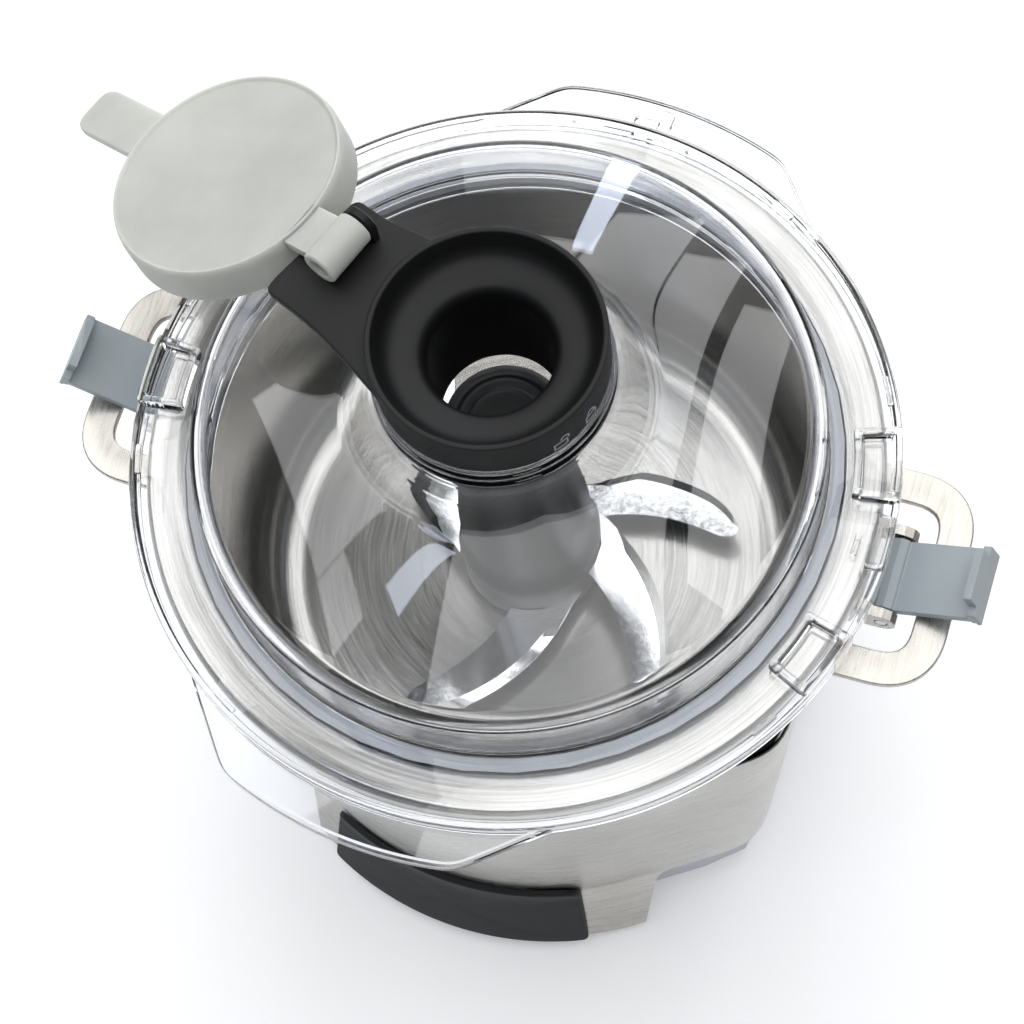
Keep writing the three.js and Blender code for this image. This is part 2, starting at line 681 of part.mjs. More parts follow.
// ---- clips, drawn shut and then swung open to their rest ----
const clipReach = catchTop + gap - handleZ; // from the pin up to the underside of the hook
function makeClip(way) {
  const half = clipWidth / 2;
  const [inner, outer] = [-clipSheet / 2, clipSheet / 2];
  const knuckle = barY(4.4, 0, 0, -half, half);
  const strap = box(inner, outer, -half, half, 0, clipReach + 3);
  const hook = box(-9, outer, -half + 3.5, half - 3.5, clipReach, clipReach + 3);
  const head = box(-3.5, outer + 0.8, -half, half, clipReach, clipReach + 3);
  const grip = box(inner, outer + 2.2, -half, half, clipReach + 1.5, clipReach + 3);
  const bore = barY(pinRadius + gap, 0, 0, -30, 30);
  const shut = knuckle.add(strap).add(hook).add(head).add(grip).subtract(bore);
  const open = shut.rotate([0, 90 - clipRest, 0]).translate([clipPivotX, 0, handleZ]);
  return way > 0 ? open : open.mirror([1, 0, 0]);
}
for (const [name, way] of both) add(`${name}_clip`, makeClip(way), clipPlastic);

// ---- blade ----
const hubFootZ = floorZ + 4.8;
const hubTopZ = hubFootZ + hubHeight;
const spindleTop = floorZ + 62;
const wings = [
  { angle: 0, z: floorZ + 19 },
  { angle: 58, z: floorZ + 10 },
  { angle: -70, z: floorZ + 10 },
  { angle: 172, z: floorZ + 19 },
];
const tangHalf = 9;
const tangIn = 15;
const tangTurn = 8; // degrees from the wing's own direction

// A sickle: the outer edge sweeps back as it goes out, the inner one follows, and the tip is round.
function makeWing({ angle, z }) {
  const root = hubFootRadius + 0.4;
  const steps = 14;
  const sides = [[], []];
  for (let i = 0; i <= steps; i += 1) {
    const share = i / steps;
    const r = root + (wingReach - root) * share;
    const lead = 40 - 72 * share ** 0.55;
    const trail = -20 - 24 * share;
    const tip = Math.max(share - 0.8, 0) / 0.2;
    const half = ((lead - trail) / 2) * Math.sqrt(Math.max(1 - tip ** 2, 0));
    const middle = (lead + trail) / 2;
    sides[0].push([middle + half, r]);
    if (i < steps) sides[1].unshift([middle - half, r]);
  }
  const rootArc = [0.2, 0.4, 0.6, 0.8].map((share) => [-20 + 60 * share, root]);
  const polar = [...sides[0], ...sides[1], ...rootArc];
  const outline = polar.map(([a, r]) => [r * Math.cos(rad(a)), r * Math.sin(rad(a))]);
  const blade = prism(outline, z, z + wingSheet);
  const tang = box(tangIn, hubFootRadius + 3, -tangHalf, tangHalf, z, z + wingSheet).rotate([0, 0, tangTurn]);
  return blade.add(tang).rotate([0, 0, angle]);
}
wings.forEach((wing, i) => add(`blade_wing_${i + 1}`, makeWing(wing), polishedSteel));

function makeHub() {
  const outside = [
    [0, hubTopZ - 1.2],
    [hubTopRadius - 4.5, hubTopZ - 1.2],
    [hubTopRadius - 3.7, hubTopZ],
    [hubTopRadius - 1.5, hubTopZ],
    [hubTopRadius, hubTopZ - 1.5],
    [hubTopRadius + 1, floorZ + 60],
    [hubTopRadius + 2.5, floorZ + 34],
    [hubFootRadius - 0.5, floorZ + 24],
    [hubFootRadius, floorZ + 14],
    [hubFootRadius, hubFootZ],
  ];
  const inside = [
    [bushOuter + 3.6, hubFootZ],
    [bushOuter + 0.8, hubFootZ + 3],
    [bushOuter + 0.8, floorZ + 28],
    [spindleRadius + gap, floorZ + 30],
    [spindleRadius + gap, spindleTop + gap],
    [0, spindleTop + gap],
  ];
  let body = lathe([...outside, ...inside], smallRound);
  const slotHalf = tangHalf + gap;
  for (const { angle, z } of wings) {
    const slot = box(tangIn - gap, hubFootRadius + 4, -slotHalf, slotHalf, z - gap, z + wingSheet + gap);
    body = body.subtract(slot.rotate([0, 0, tangTurn + angle]));
  }
  return body;
}
add("blade_hub", makeHub(), blackPlastic);

const drivenTop = clutchMid + 3.2;
const drivenCoupling = [60, 180, 300].reduce(
  (body, angle) => body.add(tooth(angle, clutchMid - toothHeight + 0.5 + gap, clutchMid + 0.5)),
  disc(couplingRadius, clutchMid, drivenTop).subtract(disc(spindleRadius - 2 + gap, clutchMid - 2, drivenTop + 1)),
);
add("driven_coupling", drivenCoupling, greyPlastic);
const spindle = lathe([
  [0, clutchMid - 1],
  [spindleRadius - 2, clutchMid - 1],
  [spindleRadius - 2, drivenTop + gap],
  [spindleRadius, drivenTop + gap],
  [spindleRadius, spindleTop],
  [0, spindleTop],
], smallRound);
add("drive_spindle", spindle, polishedSteel);

// ---- lid ----
// Height of the dome's outer face at radius r, from the shoulder in to the foot of the neck.
const domeFoot = neckRadius + 13;
function domeZ(r) {
  const share = (r - domeFoot) / (lidWall - 3 - domeFoot);
  return shoulderZ + domeRise * (1 - share ** 1.15);
}

const blocks = [
  { angle: 12.6, half: 5.9 },
  { angle: -20.5, half: 5.6 },
  { angle: 182.5, half: 5.7 },
];

function sector(inner, outer, from, to, z0, z1) {
  const steps = 4;
  const at = (r, i) => {
    const a = rad(from + ((to - from) * i) / steps);
    return [r * Math.cos(a), r * Math.sin(a)];
  };
  const count = Array.from({ length: steps + 1 }, (_, i) => i);
  return prism([...count.map((i) => at(outer, i)), ...count.reverse().map((i) => at(inner, i))], z0, z1);
}

function makeLid() {
  const inner = lidWall - 2.5;
  const domeOut = [0.02, 0.4, 0.75].map((share) => {
    const r = lidWall - 3 - share * (lidWall - 3 - domeFoot);
    return [r, domeZ(r)];
  });
  const domeIn = domeOut.map(([r, z]) => [r - 0.8, z - 2.6]).reverse();
  const neckFoot = shoulderZ + domeRise;
  const skirtZ = rimZ - 5;
  let body = lathe([
    [lidRadius, skirtZ],
    [lidRadius, plateTop + 1],
    [lidRadius - 2, plateTop + 1],
    [lidRadius - 2.6, plateTop],
    [lidWall + 2, plateTop],
    [lidWall, plateTop + 2],
    [lidWall, shoulderZ - 3],
    [lidWall - 1.2, shoulderZ - 0.8],
    ...domeOut,
    [domeFoot, neckFoot],
    [domeFoot - 6, neckFoot + 3.6],
    [neckRadius + 2, neckFoot + 9],
    [neckRadius, neckFoot + 14],
    [neckRadius, neckTop],
    [neckRadius - 2.5, neckTop],
    [neckRadius - 2.5, neckFoot + 12],
    [neckRadius - 0.2, neckFoot + 6.5],
    [domeFoot - 8, neckFoot + 1.2],
    [domeFoot - 1, neckFoot - 2.6],
    ...domeIn,
    [inner, shoulderZ - 4.5],
    [inner, rimZ - 5.8],
    [lidWall, rimZ - 5.8],
    [lidWall, plateZ],
    [lidRadius - 2.4, plateZ],
    [lidRadius - 2.4, skirtZ],
  ]);
  for (const way of [-1, 1]) {
    const middle = way * 90 + lidTurn;
    const tab = new THREE.Shape();
    const reach = lidRadius + tabReach;
    const at = (r, a) => [r * Math.cos(rad(middle + a)), r * Math.sin(rad(middle + a))];
    tab.moveTo(...at(lidRadius - 1.2, -tabHalfAngle));
    tab.lineTo(...at(reach, -tabCorner));
    tab.absarc(0, 0, reach, rad(middle - tabCorner), rad(middle + tabCorner), false);
    tab.lineTo(...at(lidRadius - 1.2, tabHalfAngle));
    tab.absarc(0, 0, lidRadius - 1.2, rad(middle + tabHalfAngle), rad(middle - tabHalfAngle), true);
    body = body.add(prism(tab, skirtZ + 1.5, skirtZ + 4, 6));
  }
  // a lock slot through the rear tab, with its post beside it
  const rear = 90 + lidTurn + 1;
  const slotRadius = lidRadius + 3.5;
  const slot = box(slotRadius - 2, slotRadius + 2, -11, 11, skirtZ, skirtZ + 8).rotate([0, 0, rear]);
  const post = box(slotRadius - 3, slotRadius + 6, -2.2, 2.2, skirtZ + 1.5, skirtZ + 6).rotate([0, 0, rear]);
  body = body.subtract(slot).add(post);
  for (const { angle, half } of blocks) {
    body = body.add(sector(flangeInner - 1, lidRadius - 0.4, angle - half, angle + half, plateTop - 1, catchTop));
  }
  // the ledge that the right-hand hook bears on
  const ledge = box(lidRadius - 7, lidRadius - 0.6, -9, 9, plateTop - 1, catchTop);
  return body.add(ledge);
}
add("lid", makeLid(), clearPlastic);

const gasketIn = lidWall + gap;
add("lid_gasket", lathe([
  [gasketIn, plateZ - gap],
  [gasketIn + 5.5, plateZ - gap],
  [gasketIn + 2.4, plateZ - 1.9],
  [gasketIn, plateZ - 4],
]), silicone);

// ---- funnel ----
const skirtRadius = neckRadius - 4.4;
const collarFoot = neckTop + gap;
const gasketOut = neckRadius - 2.5 - 0.2;
add("funnel_gasket", tube(gasketOut, skirtRadius + 0.2, neckTop - 6, neckTop - 3, mediumRound), silicone);

const armWay = [Math.cos(rad(armAngle)), Math.sin(rad(armAngle))];
// A point given along the arm and towards the front of it.
function onArm(along, aside) {
  return [along * armWay[0] - aside * armWay[1], along * armWay[1] + aside * armWay[0]];
}
const plateLow = hingeZ - hingeBarrel - gap - 4;
const plateHigh = plateLow + 3.5;
const spigotRadius = 3.3;
const barrelIn = -5;
const feedFoot = neckTop - 39; // where the feed tube ends, just over the blade's hub
const barrelOut = 13;

// A bar across the arm at the hinge, between two places aside of it.
function acrossArm(radius, from, to) {
  const rod = new THREE.CylinderGeometry(radius, radius, to - from, 16);
  const bar = solid(rod.translate(0, (from + to) / 2, 0));
  return bar.rotate([0, 0, armAngle]).translate([...onArm(hingeReach, 0), hingeZ]);
}

function makeFunnel() {
  const top = collarTop;
  let body = lathe([
    [neckRadius - 0.2, collarFoot],
    [neckRadius, collarFoot + 1],
    [neckRadius, top - 0.8],
    [neckRadius - 0.8, top],
    [neckRadius - 1.8, top],
    [neckRadius - 4.4, top - 6.6],
    [neckRadius - 7.6, top - 9],
    [boreRadius + 4.6, top - 9.8],
    [boreRadius + 1.4, top - 11.2],
    [boreRadius, top - 15],
    [boreRadius, feedFoot],
    [boreRadius + 2.5, feedFoot],
    [boreRadius + 2.5, neckTop - 3],
    [skirtRadius - 2, neckTop - 3],
    [skirtRadius - 2, neckTop - 9],
    [skirtRadius, neckTop - 9],
    [skirtRadius, collarFoot],
  ], mediumRound);
  const arm = new THREE.Shape();
  arm.moveTo(...onArm(4, neckRadius - 0.4));
  arm.quadraticCurveTo(...onArm(40, 27), ...onArm(66, 26));
  arm.lineTo(...onArm(66.5, 22));
  arm.lineTo(...onArm(63, -14.6));
  arm.lineTo(...onArm(50, -14.6));
  arm.lineTo(...onArm(31, -18));
  arm.lineTo(...onArm(20, -16));
  const inCollar = disc(neckRadius - 3, plateLow - 1, plateHigh + 1, mediumRound);
  const arms = prism(arm, plateLow, plateHigh, 6).subtract(inCollar);
  const ear = [barrelIn - 3.6, barrelIn - 0.6];
  const [near, far] = [hingeReach - 5.5, hingeReach + 5.5];
  const foot = [onArm(near, ear[0]), onArm(far, ear[0]), onArm(far, ear[1]), onArm(near, ear[1])];
  const earBody = prism(foot, plateLow, hingeZ).add(acrossArm(5.5, ear[0], ear[1]));
  body = body.add(arms).add(earBody).add(acrossArm(spigotRadius, ear[0] + 1, barrelOut - 8));
  return body;
}
add("funnel", makeFunnel(), blackPlastic);

// ---- cap, drawn shut on the collar and then swung open to its rest ----
function makeCap() {
  const face = collarTop + gap;
  const lip = face - 1.2;
  const top = lip + capHeight;
  let body = lathe([
    [0, face],
    [neckRadius - 1, face],
    [neckRadius + 0.5, lip + 0.2],
    [capRadius - 1.4, lip],
    ...arc(capRadius - 3, lip + 3, 3, -60, 0, 2),
    [capRadius, top - 1.5],
    [capRadius - 1.5, top],
    [capRadius - 3, top],
    [capRadius - 3.5, face + 4],
    [0, face + 3.2],
  ], mediumRound);
  const corners = (list) => list.map(([along, aside]) => onArm(along, aside));
  const web = corners([[capRadius - 3, barrelIn + 0.5], [hingeReach, barrelIn + 0.5], [hingeReach, 11], [capRadius - 3, 11]]);
  body = body.add(prism(web, face + 0.2, face + 4));
  body = body.add(acrossArm(hingeBarrel, barrelIn, barrelOut));
  const tabEnd = -capRadius - 28.5;
  const tab = corners([[-capRadius + 2, -9], [tabEnd + 4, -9], [tabEnd, -5], [tabEnd, 5], [tabEnd + 4, 9],
    [-capRadius + 2, 9]]);
  body = body.add(prism(tab, face + 1, face + 4.5));
  body = body.subtract(acrossArm(spigotRadius + gap, barrelIn - 2, barrelOut + 2));
  const [hingeX, hingeY] = onArm(hingeReach, 0);
  const across = body.translate([-hingeX, -hingeY, -hingeZ]).rotate([0, 0, -armAngle]);
  const swung = across.rotate([0, capSwing, 0]);
  return swung.rotate([0, 0, armAngle]).translate([hingeX, hingeY, hingeZ]);
}
add("cap", makeCap(), silicone);

export default group;
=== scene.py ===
import math

import bmesh
import bpy
import numpy as np
from mathutils import Matrix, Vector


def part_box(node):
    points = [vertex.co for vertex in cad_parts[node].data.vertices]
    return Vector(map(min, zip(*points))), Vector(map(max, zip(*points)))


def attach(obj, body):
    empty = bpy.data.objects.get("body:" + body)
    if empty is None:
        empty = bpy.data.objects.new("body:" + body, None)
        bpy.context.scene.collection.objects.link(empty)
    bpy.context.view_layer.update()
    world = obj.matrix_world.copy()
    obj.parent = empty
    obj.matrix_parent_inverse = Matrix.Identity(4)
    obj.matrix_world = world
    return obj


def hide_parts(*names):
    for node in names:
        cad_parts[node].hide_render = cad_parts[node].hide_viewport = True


# A food processor seen from above: a clear lid with its feed funnel and open cap over a steel bowl
# with a winged blade, on a steel-clad base. Shapes are worked out in millimetres, and stored in metres.

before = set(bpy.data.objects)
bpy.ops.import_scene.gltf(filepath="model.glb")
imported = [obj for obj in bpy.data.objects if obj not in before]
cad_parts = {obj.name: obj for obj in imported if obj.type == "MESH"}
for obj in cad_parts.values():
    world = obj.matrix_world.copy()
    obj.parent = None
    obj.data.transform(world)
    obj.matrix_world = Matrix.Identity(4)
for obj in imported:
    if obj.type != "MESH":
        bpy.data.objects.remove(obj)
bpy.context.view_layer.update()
mm = 0.001
gap = 0.3  # clearance between pieces, in mm


def boxOf(node):
    low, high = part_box(node)
    return np.array(low) / mm, np.array(high) / mm


# Camera: place in mm, angles in degrees.
view = {"lens": 91.4, "place": (165.0, -295.0, 998.0), "azimuth": 30.0, "elevation": 68.1, "roll": -13.4}


def aimCamera():
    turn, tilt, roll = (math.radians(view[key]) for key in ("azimuth", "elevation", "roll"))
    right = np.array((1.0, 0.0, 0.0))
    up = np.array((0.0, math.sin(tilt), math.cos(tilt)))
    back = np.array((0.0, -math.cos(tilt), math.sin(tilt)))
    side = math.cos(roll) * right + math.sin(roll) * up
    over = math.cos(roll) * up - math.sin(roll) * right
    about = np.array(((math.cos(turn), -math.sin(turn), 0), (math.sin(turn), math.cos(turn), 0), (0, 0, 1)))
    data = bpy.data.cameras.new("camera")
    data.lens = view["lens"]
    data.sensor_width = 36
    data.clip_end = 20
    camera = bpy.data.objects.new("camera", data)
    bpy.context.collection.objects.link(camera)
    matrix = Matrix.Identity(4)
    for column, axis in enumerate((side, over, back)):
        matrix.col[column][:3] = about @ axis
    matrix.translation = np.array(view["place"]) * mm
    camera.matrix_world = matrix
    bpy.context.scene.camera = camera


aimCamera()
print("camera set")


# A colour written as a web code, turned into linear values.
def linear(code, alpha=1.0):
    values = np.array([int(code[i:i + 2], 16) for i in (1, 3, 5)]) / 255
    low = values / 12.92
    high = ((values + 0.055) / 1.055) ** 2.4
    return (*np.where(values <= 0.04045, low, high).tolist(), alpha)


# Adds one node: values go to its inputs, as numbers or as other nodes' outputs.
def addNode(tree, kind, values=None, **settings):
    made = tree.nodes.new("ShaderNode" + kind)
    for key, value in settings.items():
        setattr(made, key, value)
    for key, value in (values or {}).items():
        if isinstance(value, bpy.types.NodeSocket):
            tree.links.new(value, made.inputs[key])
        else:
            made.inputs[key].default_value = value
    return made


def startMaterial(name):
    material = bpy.data.materials.new(name)
    material.use_nodes = True
    tree = material.node_tree
    shader = tree.nodes["Principled BSDF"]
    place = addNode(tree, "TexCoord").outputs["Object"]
    return material, tree, shader, place


def spread(tree, value, low, high):
    return addNode(tree, "MapRange", {"Value": value, "To Min": low, "To Max": high}).outputs["Result"]


def shades(tree, value, dark, light, start=0.3, end=0.7):
    ramp = addNode(tree, "ValToRGB", {"Fac": value})
    ramp.color_ramp.elements[0].position = start
    ramp.color_ramp.elements[1].position = end
    ramp.color_ramp.elements[0].color = linear(dark)
    ramp.color_ramp.elements[1].color = linear(light)
    return ramp.outputs["Color"]


# Stainless steel, ground with a belt: fine lines in one direction, over slow clouds of shade.
# stretch is how many times each axis is packed; lines run along the axis with the small number.
def brushedSteel(name, dark, light, stretch, rough, turned=False):
    material, tree, shader, place = startMaterial(name)
    if turned:  # lines run round the axis, as on a spun bowl
        flat = addNode(tree, "VectorMath", {0: place, 1: (1, 1, 0)}, operation="MULTIPLY").outputs[0]
        radius = addNode(tree, "VectorMath", {0: flat}, operation="LENGTH").outputs["Value"]
        parts = addNode(tree, "SeparateXYZ", {0: place})
        out = addNode(tree, "VectorMath", {0: flat}, operation="NORMALIZE").outputs[0]
        around = addNode(tree, "VectorMath", {0: out, 1: (2.5, 2.5, 0)}, operation="MULTIPLY").outputs[0]
        split = addNode(tree, "SeparateXYZ", {0: around}).outputs
        outAndUp = addNode(tree, "Math", {0: radius, 1: parts.outputs["Z"]}, operation="ADD").outputs[0]
        lines = addNode(tree, "Math", {0: outAndUp, 1: stretch[0]}, operation="MULTIPLY").outputs[0]
        grain = addNode(tree, "CombineXYZ", {0: lines, 1: split["X"], 2: split["Y"]}).outputs[0]
    else:
        grain = addNode(tree, "VectorMath", {0: place, 1: stretch}, operation="MULTIPLY").outputs[0]
    noise = {"Vector": grain, "Scale": 1.0, "Detail": 3.0, "Roughness": 0.6}
    fine = addNode(tree, "TexNoise", noise).outputs[0]
    clouds = addNode(tree, "TexNoise", {"Vector": place, "Scale": 14.0, "Detail": 2.0}).outputs[0]
    both = addNode(tree, "Math", {0: fine, 1: clouds}, operation="ADD").outputs[0]
    half = addNode(tree, "Math", {0: both, 1: 0.5}, operation="MULTIPLY").outputs[0]
    bump = addNode(tree, "Bump", {"Strength": 0.18, "Distance": 0.06 * mm, "Height": fine})
    colour = shades(tree, half, dark, light, 0.35, 0.65)
    tree.links.new(colour, shader.inputs["Base Color"])
    tree.links.new(spread(tree, fine, rough - 0.07, rough + 0.07), shader.inputs["Roughness"])
    tree.links.new(bump.outputs["Normal"], shader.inputs["Normal"])
    shader.inputs["Metallic"].default_value = 1.0
    return material


# Moulded plastic or rubber: a fine spark-eroded grain and a slow drift of shade.
def moulded(name, dark, light, rough, grainMm=0.8, bumpMm=0.03, specular=0.5, metallic=0.0):
    material, tree, shader, place = startMaterial(name)
    grain = addNode(tree, "TexNoise", {"Vector": place, "Scale": 1000 / grainMm, "Detail": 2.0}).outputs[0]
    drift = addNode(tree, "TexNoise", {"Vector": place, "Scale": 22.0, "Detail": 2.0}).outputs[0]
    colour = shades(tree, drift, dark, light)
    bump = addNode(tree, "Bump", {"Strength": 0.25, "Distance": bumpMm * mm, "Height": grain})
    tree.links.new(colour, shader.inputs["Base Color"])
    tree.links.new(spread(tree, grain, rough - 0.05, rough + 0.05), shader.inputs["Roughness"])
    tree.links.new(bump.outputs["Normal"], shader.inputs["Normal"])
    shader.inputs["Specular IOR Level"].default_value = specular
    shader.inputs["Metallic"].default_value = metallic
    return material


# Clear polycarbonate: a glass-like gloss that bends the view, while lamps reach straight through it.
def clearPolycarbonate():
    material, tree, shader, place = startMaterial("clearPolycarbonate")
    shader.inputs["Base Color"].default_value = linear("#fbfcfe")
    shader.inputs["Transmission Weight"].default_value = 1.0
    shader.inputs["IOR"].default_value = 1.45
    scuff = addNode(tree, "TexNoise", {"Vector": place, "Scale": 60.0, "Detail": 3.0}).outputs[0]
    tree.links.new(spread(tree, scuff, 0.0, 0.03), shader.inputs["Roughness"])
    lamp = addNode(tree, "LightPath").outputs["Is Shadow Ray"]
    through = addNode(tree, "BsdfTransparent", {"Color": linear("#f3f5f8")}).outputs[0]
    mixed = addNode(tree, "MixShader", {0: lamp, 1: shader.outputs[0], 2: through}).outputs[0]
    tree.links.new(mixed, tree.nodes["Material Output"].inputs["Surface"])
    return material


# Milky silicone: light soaks in and blurs, with faint clouds in the depth and a soft satin face.
def milkySilicone():
    material, tree, shader, place = startMaterial("milkySilicone")
    noise = {"Vector": place, "Scale": 18.0, "Detail": 4.0, "Roughness": 0.6}
    clouds = addNode(tree, "TexNoise", noise).outputs[0]
    grain = addNode(tree, "TexNoise", {"Vector": place, "Scale": 900.0, "Detail": 2.0}).outputs[0]
    tree.links.new(shades(tree, clouds, "#a9aba6", "#bfc0ba"), shader.inputs["Base Color"])
    bump = addNode(tree, "Bump", {"Strength": 0.2, "Distance": 0.03 * mm, "Height": grain})
    tree.links.new(bump.outputs["Normal"], shader.inputs["Normal"])
    tree.links.new(spread(tree, clouds, 0.42, 0.6), shader.inputs["Roughness"])
    shader.inputs["Subsurface Weight"].default_value = 0.6
    shader.inputs["Subsurface Radius"].default_value = (1.0, 0.95, 0.85)
    shader.inputs["Subsurface Scale"].default_value = 0.006
    shader.inputs["Specular IOR Level"].default_value = 0.4
    return material


# Circuit board: lacquered green with the faint lattice of its copper tracks.
def lacqueredBoard():
    material, tree, shader, place = startMaterial("lacqueredBoard")
    tracks = addNode(tree, "TexVoronoi", {"Vector": place, "Scale": 320.0}, distance="MANHATTAN").outputs[0]
    tree.links.new(shades(tree, tracks, "#1f5a36", "#3f7d50", 0.35, 0.5), shader.inputs["Base Color"])
    shader.inputs["Roughness"].default_value = 0.35
    return material


# Enamelled winding wire: close turns of copper with dark gaps.
def woundCopper():
    material, tree, shader, place = startMaterial("woundCopper")
    wave = {"Vector": place, "Scale": 260.0, "Distortion": 0.4}
    turns = addNode(tree, "TexWave", wave, bands_direction="Z").outputs[0]
    tree.links.new(shades(tree, turns, "#5e2f14", "#c0703a", 0.1, 0.6), shader.inputs["Base Color"])
    bump = addNode(tree, "Bump", {"Strength": 0.6, "Distance": 0.3 * mm, "Height": turns})
    tree.links.new(bump.outputs["Normal"], shader.inputs["Normal"])
    shader.inputs["Metallic"].default_value = 1.0
    shader.inputs["Roughness"].default_value = 0.38
    return material


# Each finish by what it covers: (name, dark shade, light shade, line packing or roughness, ...).
finishes = {
    "spunSteel": brushedSteel("spunStainlessSteel", "#9b9994", "#c6c4c0", (1400,), 0.22, turned=True),
    "bodySteel": brushedSteel("beltGroundStainlessSteel", "#a2a09b", "#c8c5c0", (55, 55, 1500), 0.28),
    "handleSteel": brushedSteel("satinStainlessStrip", "#a5a29c", "#c0bdb7", (900, 60, 60), 0.28),
    "bladeSteel": brushedSteel("polishedBladeSteel", "#d8dadb", "#eceded", (500, 500, 500), 0.09),
    "turnedSteel": brushedSteel("turnedShaftSteel", "#b9bbbd", "#d4d6d8", (1800,), 0.2, turned=True),
    "castAluminium": moulded("castAluminium", "#a9acb0", "#bfc2c6", 0.42, 1.6, 0.08, metallic=1.0),
    "blackIron": moulded("phosphatedSteel", "#4a4c4f", "#626468", 0.45, 1.2, 0.05, metallic=1.0),
    "funnelBlack": moulded("satinBlackPolypropylene", "#0a0a0b", "#101112", 0.5, bumpMm=0.01, specular=0.28),
    "panelBlack": moulded("softTouchBlackPlastic", "#0b0c0f", "#111216", 0.55, bumpMm=0.01, specular=0.3),
    "hubBlack": moulded("mouldedBlackNylon", "#0f1011", "#16171a", 0.45, bumpMm=0.004, specular=0.35),
    "clipGrey": moulded("mouldedGreyAbs", "#8f979b", "#9aa2a6", 0.45, bumpMm=0.012),
    "trayGrey": moulded("mouldedLightGreyAbs", "#b9bac2", "#c6c7cf", 0.45),
    "gasketGrey": moulded("greySiliconeSeal", "#8f9092", "#a0a1a3", 0.6, specular=0.25),
    "footRubber": moulded("darkRubber", "#2b2c2e", "#37383a", 0.75, 1.0, 0.06),
    "innerGrey": moulded("mouldedGreyNylon", "#a3a6a8", "#b7babc", 0.5),
    "markInk": moulded("paleGreyInk", "#9aa1a6", "#a6adb2", 0.5, bumpMm=0.004),
    "clear": clearPolycarbonate(),
    "silicone": milkySilicone(),
    "board": lacqueredBoard(),
    "winding": woundCopper(),
}
print("materials made")


# Each corner of an open or closed line is cut back along both sides and bridged by a quadratic curve.
def rounded(points, cuts, steps=6, closed=True):
    points = np.asarray(points, float)
    cuts = np.broadcast_to(np.asarray(cuts, float), len(points))
    before, after = np.roll(points, 1, 0) - points, np.roll(points, -1, 0) - points
    lengthBefore = np.linalg.norm(before, axis=1, keepdims=True)
    lengthAfter = np.linalg.norm(after, axis=1, keepdims=True)
    start = points + before / np.maximum(lengthBefore, 1e-9) * np.minimum(cuts[:, None], 0.48 * lengthBefore)
    end = points + after / np.maximum(lengthAfter, 1e-9) * np.minimum(cuts[:, None], 0.48 * lengthAfter)
    if not closed:
        start[0] = end[0] = points[0]
        start[-1] = end[-1] = points[-1]
    s = np.linspace(0, 1, steps)[None, :, None]
    curve = (1 - s) ** 2 * start[:, None] + 2 * s * (1 - s) * points[:, None] + s ** 2 * end[:, None]
    line = curve.reshape(-1, points.shape[1])
    keep = np.linalg.norm(line - np.roll(line, 1, 0), axis=1) > 1e-6
    if not closed:
        keep[0] = True
    return line[keep]


# Points along a line at equal steps of at most the given length, its corners kept.
def refined(line, step, closed=True):
    line = np.asarray(line, float)
    ends = np.roll(line, -1, 0) if closed else line[1:]
    starts = line if closed else line[:-1]
    counts = np.maximum(np.ceil(np.linalg.norm(ends - starts, axis=1) / step).astype(int), 1)
    which = np.repeat(np.arange(len(counts)), counts)
    inside = np.arange(counts.sum()) - np.repeat(np.cumsum(counts) - counts, counts)
    share = (inside / counts[which])[:, None]
    made = starts[which] + (ends - starts)[which] * share
    return made if closed else np.vstack([made, line[-1]])


# A closed outline moved inwards by a distance, each point along the mean of its two sides' normals.
def inset(outline, distance):
    ahead, behind = np.roll(outline, -1, 0) - outline, outline - np.roll(outline, 1, 0)
    ahead = ahead / np.linalg.norm(ahead, axis=1, keepdims=True)
    behind = behind / np.linalg.norm(behind, axis=1, keepdims=True)
    along = ahead + behind
    along = along / np.maximum(np.linalg.norm(along, axis=1, keepdims=True), 1e-9)
    normal = np.stack([-along[:, 1], along[:, 0]], 1)
    x, y = outline.T
    area = np.sum(x * np.roll(y, -1) - y * np.roll(x, -1))
    return outline + normal * distance * np.sign(area)


# Quads between rings of equally many points: rows by columns, either way round closed or open.
def gridFaces(rows, columns, wrapRows, wrapColumns=True):
    i = np.arange(rows if wrapRows else rows - 1)[:, None]
    j = np.arange(columns if wrapColumns else columns - 1)[None, :]
    nextRow, nextColumn = (i + 1) % rows, (j + 1) % columns
    quads = np.stack([i * columns + j, i * columns + nextColumn, nextRow * columns + nextColumn,
                      nextRow * columns + j], -1)
    return quads.reshape(-1, 4).tolist()


def polar(radius, degrees):
    angle = np.radians(degrees)
    return np.stack([np.asarray(radius) * np.cos(angle), np.asarray(radius) * np.sin(angle)], -1)


# A profile of (radius, height) turned round the z axis; a closed profile makes a ring.
def turned(profile, count=160, closed=True):
    angle = np.linspace(0, 2 * np.pi, count, endpoint=False)
    r, z = np.asarray(profile, float).T
    heights = np.repeat(z[:, None], count, 1)
    points = np.stack([r[:, None] * np.cos(angle), r[:, None] * np.sin(angle), heights], -1)
    return points.reshape(-1, 3), gridFaces(len(r), count, closed)


# Closed sections one after another, each an array of (x, y, z), with both ends covered.
def lofted(sections, closed=False):
    sections = np.asarray(sections, float)
    rows, columns = sections.shape[:2]
    faces = gridFaces(rows, columns, closed)
    if not closed:
        faces += [list(range(columns))[::-1], list(range((rows - 1) * columns, rows * columns))]
    return sections.reshape(-1, 3), faces


